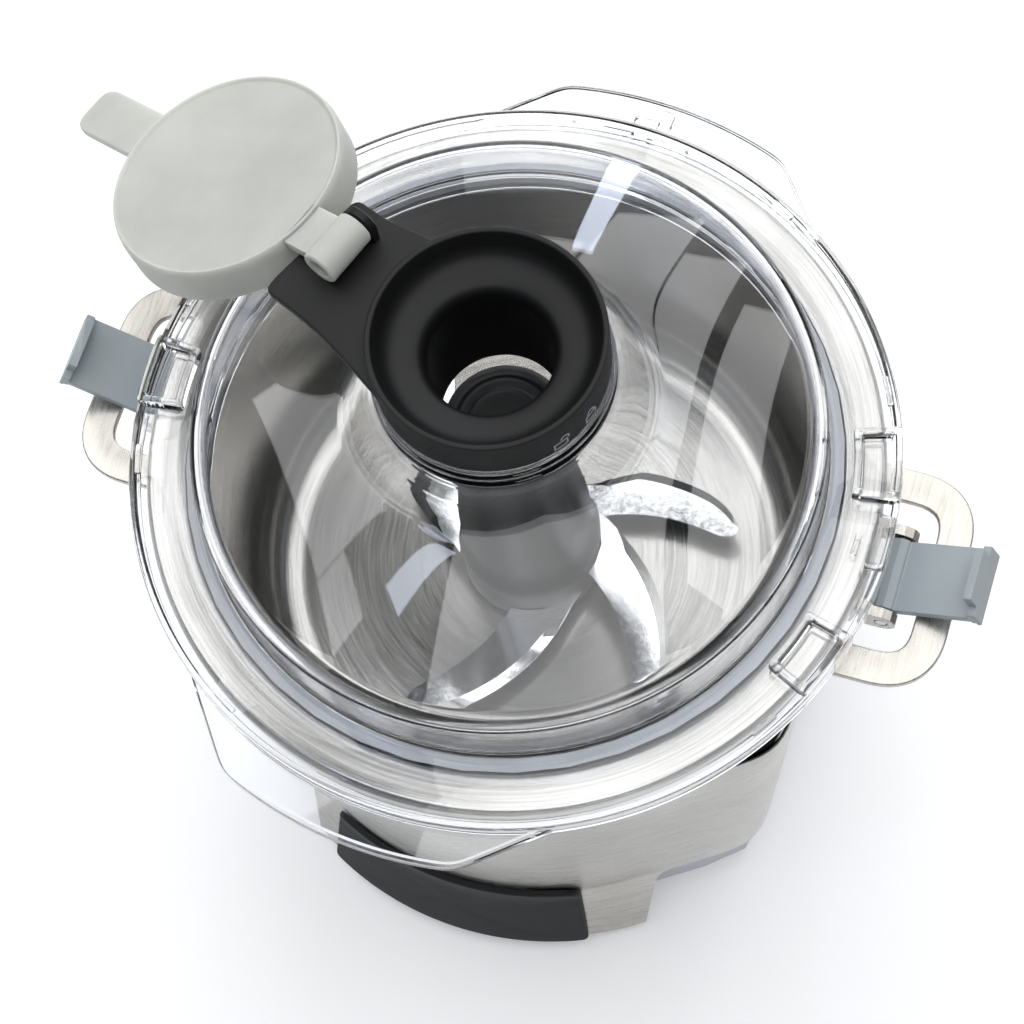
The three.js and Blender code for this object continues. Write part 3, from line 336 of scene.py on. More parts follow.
# A flat plate over an outline: straight walls and rounded top and bottom edges.
def plate(outline, low, high, edge=0.5, steps=4):
    swing = np.linspace(0, np.pi / 2, steps)
    depth = np.concatenate([edge * (1 - np.sin(swing)), edge * (1 - np.cos(swing))])
    height = np.concatenate([low + edge * (1 - np.cos(swing)), high - edge * (1 - np.sin(swing))])
    rings = [np.column_stack([inset(outline, d) if d > 1e-6 else outline, np.full(len(outline), z)])
             for d, z in zip(depth, height)]
    return lofted(rings)


# Several shapes held as one, without cutting them where they meet.
def together(*shapes):
    vertices, faces, start = [], [], 0
    for points, quads in shapes:
        vertices.append(points)
        faces += [[index + start for index in face] for face in quads]
        start += len(points)
    return np.vstack(vertices), faces


# A mesh in metres from a shape in millimetres: welded, faces out, large faces cut into triangles.
def cleanMesh(name, shape, sharpAngle=35):
    points, faces = shape
    mesh = bpy.data.meshes.new(name)
    mesh.from_pydata((np.asarray(points) * mm).tolist(), [], faces)
    work = bmesh.new()
    work.from_mesh(mesh)
    bmesh.ops.remove_doubles(work, verts=work.verts, dist=2e-6)
    bmesh.ops.recalc_face_normals(work, faces=work.faces)
    bmesh.ops.triangulate(work, faces=[face for face in work.faces if len(face.verts) > 4])
    work.to_mesh(mesh)
    work.free()
    mesh.shade_smooth()
    mesh.set_sharp_from_angle(angle=math.radians(sharpAngle))
    return mesh


# One visible piece, with its finish, that rides on a body and stands for the CAD nodes it replaces.
def makePiece(name, body, finish, shape, replaced=(), sharpAngle=35):
    piece = bpy.data.objects.new(name, cleanMesh(name, shape, sharpAngle))
    bpy.context.collection.objects.link(piece)
    piece.data.materials.append(finishes[finish])
    if replaced:
        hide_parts(*replaced)
    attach(piece, body)
    return piece


# Joins closed shapes to a first one, or takes them away, and keeps the result as a plain shape.
def combined(name, first, others, operation="UNION"):
    base = bpy.data.objects.new(name + "Base", cleanMesh(name + "Base", first))
    bpy.context.collection.objects.link(base)
    tools = []
    for number, other in enumerate(others):
        tool = bpy.data.objects.new(f"{name}Tool{number}", cleanMesh(f"{name}Tool{number}", other))
        bpy.context.collection.objects.link(tool)
        tools.append(tool)
        change = base.modifiers.new("join", "BOOLEAN")
        change.operation = operation
        change.solver = "EXACT"
        change.object = tool
    shown = bpy.context.evaluated_depsgraph_get()
    shown.update()
    mesh = bpy.data.meshes.new_from_object(base.evaluated_get(shown))
    points = np.empty(len(mesh.vertices) * 3)
    mesh.vertices.foreach_get("co", points)
    shape = points.reshape(-1, 3) / mm, [list(face.vertices) for face in mesh.polygons]
    for item in [base, *tools]:
        old = item.data
        bpy.data.objects.remove(item)
        bpy.data.meshes.remove(old)
    bpy.data.meshes.remove(mesh)
    return shape


# The base: its plan, jacket, front panel and well.
rimZ = boxOf("bowl")[1][2]
deckZ = boxOf("jacket")[1][2]
base = {"notch": 42, "toeBottom": 7, "toeHalf": 66, "toeFlare": 9, "facet": 57, "frontLean": 5, "sideLean": 8,
        "sheet": 1.2, "sharpness": 26, "count": 240}
base["side"] = boxOf("jacket")[1][0] - base["sideLean"]
base["front"] = boxOf("jacket")[1][1] - base["toeFlare"]


# Plan of the base: arcs at the front and back run on in straight tangents to two flat sides.
def planRadius(angle, front, side):
    turnedTo = np.abs(np.arctan2(np.sin(angle), np.cos(angle)))
    fromSide = np.minimum(turnedTo, np.pi - turnedTo)
    facet = math.radians(base["facet"])
    bow = np.where(fromSide > facet, front, front / np.cos(np.minimum(facet - fromSide, 1.2)))
    flat = side / np.maximum(np.cos(fromSide), 1e-3)
    k = base["sharpness"]
    return (bow ** -k + flat ** -k) ** (-1 / k)


def frontAt(z):
    toe = base["front"] + base["toeFlare"] * (base["notch"] - z) / (base["notch"] - base["toeBottom"])
    upper = base["front"] + base["frontLean"] * (z - base["notch"]) / (deckZ - base["notch"])
    blend = np.clip((z - base["notch"]) / 8 + 0.5, 0, 1)  # the toe's bend is rounded over 8 mm
    return np.where(blend <= 0, toe, np.where(blend >= 1, upper, toe * (1 - blend) + upper * blend))


def sideAt(z):
    return base["side"] + base["sideLean"] * np.maximum(z - base["notch"], 0) / (deckZ - base["notch"])


def planRing(z, inward, count=None):
    angle = np.linspace(0, 2 * np.pi, count or base["count"], endpoint=False)
    r = planRadius(angle, frontAt(np.float64(z)) - inward, sideAt(z) - inward)
    return np.column_stack([r * np.cos(angle), r * np.sin(angle), np.full(len(angle), float(z))])


def rectangle(x0, y0, x1, y1):
    return [(x0, y0), (x1, y0), (x1, y1), (x0, y1)]


# An outline in x and z carried from one y to another.
def alongY(outline, start, end):
    return lofted([np.insert(outline, 1, y, 1) for y in (start, end)])


# Walls of sheet between the toe and the deck, cut away at both sides of the toe and round the sockets.
def makeJacket():
    t = base["sheet"]
    heights = np.concatenate([np.linspace(base["toeBottom"], 36, 6), np.linspace(38, 46, 7),
                              np.linspace(60, deckZ - 1, 8)])
    outer = [planRing(z, 0) for z in heights] + [planRing(deckZ - 0.3, 0.1), planRing(deckZ, 0.5)]
    inner = [planRing(z, t) for z in heights[::-1]]
    shell = lofted(outer + inner, closed=True)
    far = 150  # past the base's side
    notch = rounded([(base["toeHalf"], -5), (far, -5), (far, base["notch"]),
                     (base["toeHalf"] + 3, base["notch"])], (0, 0, 0, 7), steps=9)
    cutters = [alongY(notch * (way, 1), -300.0, 300.0) for way in (-1, 1)]
    for node in ("mains_inlet", "switch_frame"):
        low, high = boxOf(node)
        (x0, _, z0), (x1, _, z1) = low - gap, high + gap
        cutters.append(alongY(np.array(rectangle(x0, z0, x1, z1)), 60.0, 160.0))
    shape = combined("jacket", shell, cutters, "DIFFERENCE")
    makePiece("jacketShell", "base", "bodySteel", shape, ["jacket"], 25)


makeJacket()

# The panel's middle and half width are in degrees round the base, the rest in mm.
panel = {"centre": -92.5, "half": 26.0, "top": 50.0, "bottom": 8.0, "corner": 9.0, "proud": 3.0, "edge": 1.4}


# Arc length and height on the toe's face, and how far out from it, as x, y and z.
def onToe(flat, out):
    angle = math.radians(panel["centre"]) + flat[:, 0] / base["front"]
    r = frontAt(flat[:, 1]) + out
    return np.column_stack([r * np.cos(angle), r * np.sin(angle), flat[:, 1]])


# The panel's face follows the toe; its outline is a rounded rectangle in arc length and height.
def makePanel():
    halfArc = math.radians(panel["half"]) * base["front"]
    outline = rounded([(-halfArc, panel["bottom"]), (halfArc, panel["bottom"]), (halfArc, panel["top"]),
                       (-halfArc, panel["top"])], (3, 3, panel["corner"], panel["corner"]), steps=10)
    outline = refined(outline, 2.0)
    swing = np.linspace(0, np.pi / 2, 6)
    edge, proud = panel["edge"], panel["proud"]
    steps = [(0.0, 0.6)] + [(edge * (1 - np.cos(a)), proud - edge * (1 - np.sin(a))) for a in swing]
    rings = [onToe(inset(outline, back) if back > 1e-6 else outline, out) for back, out in steps]
    # the face closes over concentric copies of its outline, so that it keeps the toe's curve
    flat = inset(outline, edge)
    centre = np.array([0.0, (panel["top"] + panel["bottom"]) / 2])
    rings += [onToe(centre + (flat - centre) * share, proud) for share in (0.75, 0.5, 0.25, 0.02)]
    makePiece("frontPanel", "base", "panelBlack", lofted(rings), ["front_panel"])


makePanel()


well = {"mouth": 106.4, "taper": 4.7, "sheet": 2, "bush": 15}


def roundRing(radius, z):
    angle = np.linspace(0, 2 * np.pi, base["count"], endpoint=False)
    return np.column_stack([radius * np.cos(angle), radius * np.sin(angle), np.full(len(angle), z)])


# Rings from the deck's outer edge over the mouth, down the wall, in to the hole and back below.
def makeWell():
    low, high = boxOf("bowl_well")
    bottom, top = low[2], high[2]
    mouth, bush = well["mouth"], well["bush"]
    narrow = mouth - well["taper"]
    inward = base["sheet"] + 2 * gap
    rings = [planRing(top - 3, inward), planRing(top - 0.6, inward), planRing(top, inward + 0.6),
             roundRing(mouth + 1.2, top), roundRing(mouth + 0.3, top - 0.4), roundRing(mouth, top - 1.2),
             roundRing(narrow, bottom + 9), roundRing(narrow - 1, bottom + 6),
             roundRing(narrow - 3, bottom + 5), roundRing(bush, bottom + 5), roundRing(bush, bottom),
             roundRing(narrow + 2.1, bottom), roundRing(mouth + well["sheet"], top - 3)]
    makePiece("bowlWell", "base", "panelBlack", lofted(rings, closed=True), ["bowl_well"])


makeWell()


# The bowl: a spun wall that flares into a rolled flange, with a moulded ring below and two strip handles.
bowl = {"radius": 104.2, "taper": 4.7, "corner": 18, "sheet": 1.2, "flare": 8.8, "width": 10, "hem": 6.8,
        "roll": 2.5, "hole": 9.3}
bowl["floor"] = boxOf("bowl")[0][2] + bowl["sheet"]


def arcLine(cx, cz, radius, start, end, steps):
    a = np.radians(np.linspace(start, end, steps))
    return np.column_stack([cx + radius * np.cos(a), cz + radius * np.sin(a)])


def makeBowl():
    t, low = bowl["sheet"], bowl["radius"] - bowl["taper"]
    inner, outer = bowl["radius"] + bowl["flare"], bowl["radius"] + bowl["flare"] + bowl["width"]
    hole, roll = bowl["hole"], bowl["roll"]
    inside = np.vstack([
        [[hole, bowl["floor"]]],
        arcLine(low - bowl["corner"], bowl["floor"] + bowl["corner"], bowl["corner"], -90, 0, 14),
        arcLine(inner, rimZ - bowl["flare"], bowl["flare"], 180, 90, 10),
        arcLine(outer - roll, rimZ - roll, roll, 90, 0, 6),
        [[outer, rimZ - bowl["hem"]], [outer - t, rimZ - bowl["hem"]]],
        arcLine(outer - roll, rimZ - roll, roll - t, 0, 90, 6),
        arcLine(inner, rimZ - bowl["flare"], bowl["flare"] - t, 90, 180, 10),
        arcLine(low - bowl["corner"], bowl["floor"] + bowl["corner"], bowl["corner"] + t, 0, -90, 14),
        [[hole, bowl["floor"] - t]],
    ])
    makePiece("steelBowl", "bowl", "spunSteel", turned(inside, 192), ["bowl"])


makeBowl()


def makeBowlBase():
    low, high = boxOf("bowl_base")
    ring = (high[0] - low[0]) / 2 - 4
    z0, z1 = low[2], high[2]
    profile = rounded([(16, z0), (ring + 2, z0), (ring + 4, z0 + 3), (ring + 2, z1 - 0.2), (ring - 1, z1 - 1),
                       (ring - 1, z0 + 3), (16, z0 + 3)], (0.5, 1.5, 1.5, 0.5, 0.5, 1, 0.5))
    makePiece("bowlBaseRing", "bowl", "hubBlack", turned(profile, 160), ["bowl_base"])


makeBowlBase()

handle = {"reach": 152.0, "half": 38.0, "strip": 11.5, "sheet": 3.0, "corner": 16.0, "edge": 0.7,
          "wall": 105.6}


# A flat strip carried along a path of two legs and an outer bar, its ends shaped to the bowl's wall.
def makeHandle(name, way):
    low, high = boxOf(name)
    middleZ = (low[2] + high[2]) / 2
    half = handle["strip"] / 2
    reach, wide = handle["reach"] - half, handle["half"] - half
    start = handle["wall"] - 4
    path = [(start, -wide), (reach, -wide), (reach, wide), (start, wide)]
    path = rounded(path, handle["corner"], 14, closed=False)
    path = refined(path, 4.0, closed=False)
    ahead = np.gradient(path, axis=0)
    ahead /= np.linalg.norm(ahead, axis=1, keepdims=True)
    side = np.column_stack([ahead[:, 1], -ahead[:, 0]])
    thick = handle["sheet"] / 2
    section = rounded([(-half, -thick), (half, -thick), (half, thick), (-half, thick)], handle["edge"], 4)
    flat = path[:, None, :] + side[:, None, :] * section[None, :, :1]
    height = np.broadcast_to(section[None, :, 1:] + middleZ, (*flat.shape[:2], 1))
    sections = np.concatenate([flat, height], -1)
    for end in (0, -1):
        sections[end, :, 0] = np.sqrt(handle["wall"] ** 2 - sections[end, :, 1] ** 2)
    sections[:, :, 0] *= way
    pieceName = name.replace("_handle", "HandleLoop")
    makePiece(pieceName, "bowl", "handleSteel", lofted(sections), [name])


makeHandle("left_handle", -1)
makeHandle("right_handle", 1)

# The blade: a moulded hub with four curved wings.
hub = {"top": 20.0, "foot": 25.5}


def makeHub():
    low, high = boxOf("blade_hub")
    z0, z1, floor = low[2], high[2], bowl["floor"]
    top, foot = hub["top"], hub["foot"]
    outside = rounded([
        (0, z1 - 1.4), (11, z1 - 1.4), (11.4, z1 - 1.1), (12, z1 - 1.1), (12.4, z1 - 1.4),
        (top - 4.5, z1 - 1.4), (top - 3.6, z1), (top, z1), (top + 1, floor + 60), (top + 2.5, floor + 34),
        (foot - 0.5, floor + 24),
        (foot, floor + 14), (foot, z0), (foot - 3, z0), (foot - 4, z0 + 4), (0, z0 + 5)],
        (0, 1, 1, 1, 1, 1.2, 1.5, 1.6, 5, 5, 2, 2, 0.6, 0.6, 1, 0), closed=False)
    shape = turned(outside, 96, closed=False)
    makePiece("hubTower", "blade", "hubBlack", shape, ["blade_hub"])


makeHub()

# The lead and trail edges are in degrees from the wing's middle, and shift with the way out along it.
wing = {"reach": 74.0, "root": 25.9, "sheet": 2.0, "bevel": 4.5, "lead": (40, 72, 0.55), "trail": (20, 24)}


# Each section is an arc of the sickle at one radius: a flat blade with its outer edge ground to a slope.
def makeWing(number, angle):
    node = f"blade_wing_{number}"
    z0 = boxOf(node)[0][2]
    nearTip = 1 - 0.2 * np.linspace(1, 0.02, 16) ** 1.6
    share = np.concatenate([np.linspace(0, 0.8, 22, endpoint=False), nearTip])
    r = wing["root"] + (wing["reach"] - wing["root"]) * share
    lead = wing["lead"][0] - wing["lead"][1] * share ** wing["lead"][2]
    trail = -wing["trail"][0] - wing["trail"][1] * share
    tip = np.maximum(share - 0.8, 0) / 0.2
    half = (lead - trail) / 2 * np.sqrt(np.maximum(1 - tip ** 2, 0))
    middle = (lead + trail) / 2
    width = np.radians(2 * half) * r
    started = np.clip((share - 0.12) / 0.05, 0, 1)
    ground = np.minimum(wing["bevel"] * started + 0.3, width * 0.45)
    thin = np.clip(1 - 0.75 * started, 0.2, 1)
    t = wing["sheet"]
    none, full = np.zeros_like(r), np.full_like(r, t)
    across = np.stack([none, none, ground, width * 0.55, width * 0.8, width - 0.2, width, width * 0.6,
                       width * 0.3], 1)
    up = np.stack([none, t * thin, full, full, full, full, full - 0.3, none, none], 1)
    turn = np.radians(angle + middle + half)[:, None] - across / r[:, None]
    sections = np.stack([r[:, None] * np.cos(turn), r[:, None] * np.sin(turn), z0 + up], -1)
    makePiece(f"bladeWing{number}", "blade", "bladeSteel", lofted(sections), [node], 20)


for number, angle in enumerate((0, 58, -70, 172), 1):
    makeWing(number, angle)
print("bowl and blade made")

# The lid: one clear moulding of skirt, plate, standing wall, dome and neck, with two tabs and catch blocks.
lid = {"radius": 128.0, "wall": 103.5, "sheet": 2.8, "plate": 207.5, "shoulder": 236.3, "domeRise": 19.5,
       "domeFoot": 49.9, "neck": 36.9, "turn": -7.0, "tabReach": 13.0, "tabHalf": 31.8, "tabCorner": 17.0}
lid["top"] = boxOf("lid")[1][2]
lid["skirt"] = rimZ - 5


# The dome falls away from the neck's foot, a little steeper at its edge.
def domeLine(count, lowered=0.0, inwards=0.0):
    share = np.linspace(0.02, 1, count)
    r = lid["wall"] - 3 - share * (lid["wall"] - 3 - lid["domeFoot"])
    left = (r - lid["domeFoot"]) / (lid["wall"] - 3 - lid["domeFoot"])
    z = lid["shoulder"] + lid["domeRise"] * (1 - left ** 1.15)
    return np.column_stack([r - inwards, z - lowered])


# A low rib round the neck, above a height.
def neckRib(z):
    neck, proud = lid["neck"], 1.3
    return (neck, z), (neck + proud, z + 0.7), (neck + proud, z + 1.7), (neck, z + 2.4)


def lidProfile():
    edge, wall, top, neck = lid["radius"], lid["wall"], lid["plate"] + lid["sheet"], lid["neck"]
    neckFoot = lid["shoulder"] + lid["domeRise"]
    foot = lid["domeFoot"]
    rim = rounded([(edge - 2.4, lid["skirt"]), (edge, lid["skirt"]), (edge, top + 1), (edge - 2, top + 1),
                   (edge - 2.7, top), (wall + 2, top), (wall, top + 2), (wall, lid["shoulder"] - 4),
                   (wall - 1.4, lid["shoulder"] - 0.6), (wall - 4, lid["shoulder"] + 0.6)],
                  (0, 0.7, 0.8, 0.6, 0.6, 1.4, 1.6, 1.6, 1.6, 0), closed=False)
    neckOut = rounded([(foot, neckFoot), (foot - 6, neckFoot + 3.6), (neck + 2, neckFoot + 9),
                       (neck, neckFoot + 13),
                       *neckRib(271.6), *neckRib(276.6),
                       (neck, lid["top"]), (neck - 2.5, lid["top"]), (neck - 2.5, neckFoot + 12),
                       (neck - 0.2, neckFoot + 6.5), (foot - 8, neckFoot + 1.2), (foot - 1, neckFoot - 2.6)],
                      (0, 4, 4, 3, *(0.6, 0.4, 0.4, 0.6) * 2, 0.5, 0.5, 4, 4, 4, 0), closed=False)
    inner = wall - 2.5
    under = rounded([(wall - 5, lid["shoulder"] - 1.9), (inner, lid["shoulder"] - 4.5), (inner, rimZ - 5.8),
                     (wall, rimZ - 5.8), (wall, lid["plate"]), (edge - 2.4, lid["plate"])],
                    (0, 2.2, 0.5, 0.5, 0.8, 0), closed=False)
    return np.vstack([rim, domeLine(26)[1:-1], neckOut, domeLine(26, 2.6, 0.8)[::-1][1:-1], under])


tab = {"thick": 2.6, "bead": 0.9, "sharpness": 150}


# A plate that grows out of the rim: its edge is an arc between two straight sides, with a low bead along it.
# Sections run across it at equal turns, each from the rim out to the edge.
def tabShape(way):
    turn = np.linspace(-lid["tabHalf"], lid["tabHalf"], 121)
    reach, root = lid["radius"] + lid["tabReach"], lid["radius"] - 1.4
    (x1, y1), (x2, y2) = polar(reach, lid["tabCorner"]), polar(root + 0.4, lid["tabHalf"])
    angle = np.radians(np.abs(turn))
    side = (x1 * y2 - x2 * y1) / ((x1 - x2) * np.sin(angle) - (y1 - y2) * np.cos(angle))
    side = np.where(side > 0, side, 1e3)
    k = tab["sharpness"]
    edge = ((reach / 100) ** -k + (side / 100) ** -k) ** (-1 / k) * 100
    width = edge - root
    low = lid["skirt"] + 1.4
    high, bead = low + tab["thick"], low + tab["thick"] + tab["bead"]
    back = np.array([0, 0, 0.5, 0, 0, 0.4, 1.3, 1.9, 2.4])
    rise = np.array([high, low, low, low + 0.5, bead - 0.4, bead, bead, high + 0.3, high])
    out = np.maximum(width[:, None] - back[None, :], 0.05)
    out[:, :2] = 0
    around = np.radians(way * 90 + lid["turn"] + turn)[:, None]
    r = root + out
    return lofted(np.stack([r * np.cos(around), r * np.sin(around), np.broadcast_to(rise, r.shape)], -1))


# A part of a ring between two radii and two angles, its corners cut back.
def sectorLine(inner, outer, start, end, corner=1.2):
    count = 9
    line = np.vstack([polar(np.full(count, outer), np.linspace(start, end, count)),
                      polar(np.full(count, inner), np.linspace(end, start, count))])
    cuts = np.zeros(len(line))
    cuts[[0, count - 1, count, -1]] = corner
    return rounded(line, cuts, 5)


# A catch block: a low frame with a sunk middle.
def blockShape(angle, half):
    low, top = lid["plate"] + 1.6, lid["plate"] + lid["sheet"] + 5
    steps = [(0.0, low), (0.0, top - 0.7), (0.25, top - 0.2), (0.7, top), (1.9, top), (2.3, top - 0.3),
             (2.6, top - 1), (2.9, low + 2.6), (3.4, low + 2.2)]
    rings = []
    for less, z in steps:
        swing = math.degrees(less / (lid["radius"] - 8))
        line = sectorLine(lid["radius"] - 16 + less, lid["radius"] - 0.4 - less, angle - half + swing,
                          angle + half - swing, 1.3)
        rings.append(np.column_stack([line, np.full(len(line), z)]))
    return lofted(rings)


catch = {"blocks": ((12.6, 5.9), (-20.5, 5.6), (182.5, 5.7)), "rear": 84, "slotOut": 3.5, "slotLong": 11,
         "ribs": ((-1, 1.8, 117), (25, 2.4, 125), (-33, 2.2, 125), (168, 2.2, 125), (197, 2.4, 125),
                  (140, 2.0, 125), (60, 2.0, 125), (-120, 2.0, 125))}


# The body takes the blocks and ribs, then the slot in the rear tab is cut and its post put in.
def makeLid():
    radius, low, top = lid["radius"], lid["plate"] + 1.6, lid["plate"] + lid["sheet"]
    others = [tabShape(-1), tabShape(1)] + [blockShape(*block) for block in catch["blocks"]]
    others.append(plate(rounded(rectangle(radius - 7, -9, radius - 0.6, 9), 1.2), low, top + 5, 0.5))
    for angle, half, middle in catch["ribs"]:
        line = sectorLine(middle - 1, middle + 1, angle - half, angle + half, 0.9)
        others.append(plate(line, low, top + 1.5, 0.5))
    shape = combined("lid", turned(lidProfile(), 192), others)
    rear, out, long = math.radians(catch["rear"]), radius + catch["slotOut"], catch["slotLong"]
    spin = np.array([[math.cos(rear), math.sin(rear)], [-math.sin(rear), math.cos(rear)]])
    slot = rounded(rectangle(out - 2.2, -long, out + 2.2, long), 2.1)
    hole = plate(slot @ spin, lid["skirt"], lid["skirt"] + 8, 0.01)
    shape = combined("lid", shape, [hole], "DIFFERENCE")
    post = rounded(rectangle(out - 3, -2.2, out + 6, 2.2), 0.8)
    shape = combined("lid", shape, [plate(post @ spin, lid["skirt"] + 1.6, lid["skirt"] + 6, 0.5)])
    makePiece("clearLid", "lid", "clear", shape, ["lid"], 30)


makeLid()
print("lid made")

# The funnel: a collar with its feed tube, and an arm that carries the cap's hinge.
funnel = {"bore": 19.5, "armAngle": 159.5, "reach": 54.0, "collar": 16.7, "hingeUp": 2.6, "barrel": 6.0,
          "armSheet": 3.5, "tube": 39.0, "ear": 5.5, "pin": 3.3}
funnel["top"] = lid["top"] + gap + funnel["collar"]
funnel["hingeZ"] = funnel["top"] + funnel["hingeUp"]
funnel["armLow"] = funnel["hingeZ"] - funnel["barrel"] - gap - 4


# Places along the arm and to its front side, as x and y.
def onArm(points):
    turn = math.radians(funnel["armAngle"])
    along, aside = np.asarray(points, float).T
    x = along * math.cos(turn) - aside * math.sin(turn)
    return np.column_stack([x, along * math.sin(turn) + aside * math.cos(turn)])


def makeFunnel():
    neck, neckTop, bore, top = lid["neck"], lid["top"], funnel["bore"], funnel["top"]
    skirt, foot = neck - 4.4, neckTop - funnel["tube"]
    profile = rounded([
        (neck - 0.2, neckTop + gap), (neck, neckTop + 1.2), (neck, top), (neck - 1.8, top),
        (neck - 4.4, top - 6.6), (neck - 7.6, top - 9), (bore + 4.6, top - 9.8), (bore + 1.4, top - 11.2),
        (bore, top - 15), (bore, foot), (bore + 2.5, foot),
        (bore + 2.5, neckTop - 3), (skirt - 2, neckTop - 3), (skirt - 2, neckTop - 9), (skirt, neckTop - 9),
        (skirt, neckTop + gap)],
        (0.4, 0.6, 0.7, 0.7, 3, 3.5, 2, 2.5, 2.5, 0.6, 0.6, 0.6, 0.6, 0.5, 0.5, 0.3), steps=7)
    makePiece("funnelCollar", "funnel", "funnelBlack", turned(profile, 144), ["funnel"])
    outline = rounded([(4, neck - 0.4), (30, 30), (48, 26.6), (66, 26), (66.5, 22), (63, -14.6), (50, -14.6),
                       (31, -18), (20, -16), (30, 0)], (0, 12, 8, 3, 3, 3, 3, 8, 0, 0), 8)
    low, core = funnel["armLow"], neck - 1
    hollow = turned([(0, low - 9), (core, low - 9), (core, top + 9), (0, top + 9)], 96, closed=False)
    blank = plate(refined(onArm(outline), 3), low, low + funnel["armSheet"], 0.6)
    arm = combined("arm", blank, [hollow], "DIFFERENCE")
    makePiece("funnelArm", "funnel", "funnelBlack", together(arm, earShape(), pinShape()))


# A line of (along, height) standing across the arm at the hinge, at a place aside of it.
def acrossArm(line, aside):
    flat = onArm(np.column_stack([funnel["reach"] + line[:, 0], np.full(len(line), float(aside))]))
    return np.column_stack([flat, line[:, 1]])


def circleLine(radius, count):
    around = np.radians(np.linspace(0, 360, count, endpoint=False))
    return np.column_stack([radius * np.cos(around), funnel["hingeZ"] + radius * np.sin(around)])


# The ear that holds the hinge pin: straight sides up from the arm and a round top.
def earShape():
    swing, ear, low = np.radians(np.linspace(0, 180, 15)), funnel["ear"], funnel["armLow"]
    bow = np.column_stack([ear * np.cos(swing), funnel["hingeZ"] + ear * np.sin(swing)])
    side = np.vstack([[(ear, low)], bow, [(-ear, low)]])
    sections = [acrossArm(inset(side, back) if back else side, aside)
                for aside, back in ((-8.6, 0.5), (-8.2, 0), (-6, 0), (-5.6, 0.5))]
    return lofted(sections)


def pinShape():
    return lofted([acrossArm(circleLine(funnel["pin"], 24), aside) for aside in (-7.6, 5)])


makeFunnel()

# Printed marks on the collar for open and locked: a padlock body and its shackle, laid on the round wall.
mark = {"wide": 2.6, "tall": 3.6, "line": 0.55, "proud": 0.06, "low": 283.6, "shackle": 1.7, "leg": 0.9,
        "open": (-37, 1.6), "locked": (-17, 0.0)}


def onCollar(outline, angle, proud):
    across, up = np.asarray(outline, float).T
    reach = lid["neck"] + proud
    turn = math.radians(angle) + across / reach
    return np.column_stack([reach * np.cos(turn), reach * np.sin(turn), mark["low"] + up])


def inkOf(outline, angle):
    return lofted([onCollar(outline, angle, -0.1), onCollar(outline, angle, mark["proud"])])


# Four strokes make the body, an arch and its legs the shackle; the open one's shackle is swung to the side.
def makeMarks():
    half, tall, line, leg = mark["wide"], mark["tall"], mark["line"], mark["leg"]
    outer, inner = mark["shackle"], mark["shackle"] - line
    swing = np.radians(np.linspace(0, 180, 13))
    arch = np.column_stack([np.cos(swing), np.sin(swing)])
    pieces = []
    for angle, side in (mark["open"], mark["locked"]):
        strokes = [(-half, 0, half, line), (-half, tall - line, half, tall),
                   (-half, line, line - half, tall - line), (half - line, line, half, tall - line),
                   (side + inner, tall, side + outer, tall + leg)]
        if side == 0:
            strokes.append((-outer, tall, -inner, tall + leg))
        pieces += [inkOf(refined(rectangle(*stroke), 0.5), angle) for stroke in strokes]
        pieces.append(inkOf(np.vstack([arch * outer, arch[::-1] * inner]) + (side, tall + leg), angle))
    makePiece("collarMarks", "funnel", "markInk", together(*pieces))


makeMarks()

# The cap: a soft cup on its own hinge barrel, with a thumb tab on the far side.
cap = {"radius": 39.5, "height": 15.0, "droop": 18.0, "tab": 28.5, "tabHalf": 9.0, "lip": 1.2}


# Drawn shut on the collar with the arm along +x, then swung about the hinge to lie open.
def swungOpen(shape):
    points, faces = shape
    hingeX, hingeZ = funnel["reach"], funnel["hingeZ"]
    x, y, z = points.T
    swing, arm = math.radians(180 + cap["droop"]), math.radians(funnel["armAngle"])
    dx, dz = x - hingeX, z - hingeZ
    outX = hingeX + dx * math.cos(swing) + dz * math.sin(swing)
    outZ = hingeZ - dx * math.sin(swing) + dz * math.cos(swing)
    turnedX = outX * math.cos(arm) - y * math.sin(arm)
    turnedY = outX * math.sin(arm) + y * math.cos(arm)
    return np.column_stack([turnedX, turnedY, outZ]), faces


def makeCap():
    neck, r = lid["neck"], cap["radius"]
    face = funnel["top"] + gap
    lip = face - cap["lip"]
    top = lip + cap["height"]
    profile = rounded([
        (0, face + 0.6), (neck + 0.4, face + 0.15), (r - 1, lip + 0.1), (r, lip + 2.6), (r, top),
        (r - 3, top), (r - 3.6, face + 4.2), (0, face + 3.6)],
        (0, 0.35, 0.8, 2.2, 1.2, 1.2, 2.2, 0), steps=9, closed=False)
    disc = turned(profile, 144, closed=False)
    web = rounded(rectangle(r - 3, -4.5, funnel["reach"], 11), 0.5)
    barrel = []
    for radius, aside in ((3.8, -5), (5.5, -5), (6, -4.5), (6, 12.5), (5.5, 13), (3.8, 13)):
        barrel.append(np.insert(circleLine(radius, 48) + (funnel["reach"], 0), 1, aside, 1))
    tabEnd, half = -r - cap["tab"], cap["tabHalf"]
    thumb = rounded([(-r + 2, -half), (tabEnd, -half), (tabEnd, half), (-r + 2, half)], (0, 6, 6, 0), 8)
    shape = combined("cap", disc, [plate(thumb, face + 1, face + 4.6, 0.9)])
    shape = together(shape, plate(web, face + 0.2, face + 4.2, 0.4), lofted(barrel, closed=True))
    makePiece("siliconeCap", "cap", "silicone", swungOpen(shape), ["cap"])


makeCap()
print("funnel and cap made")

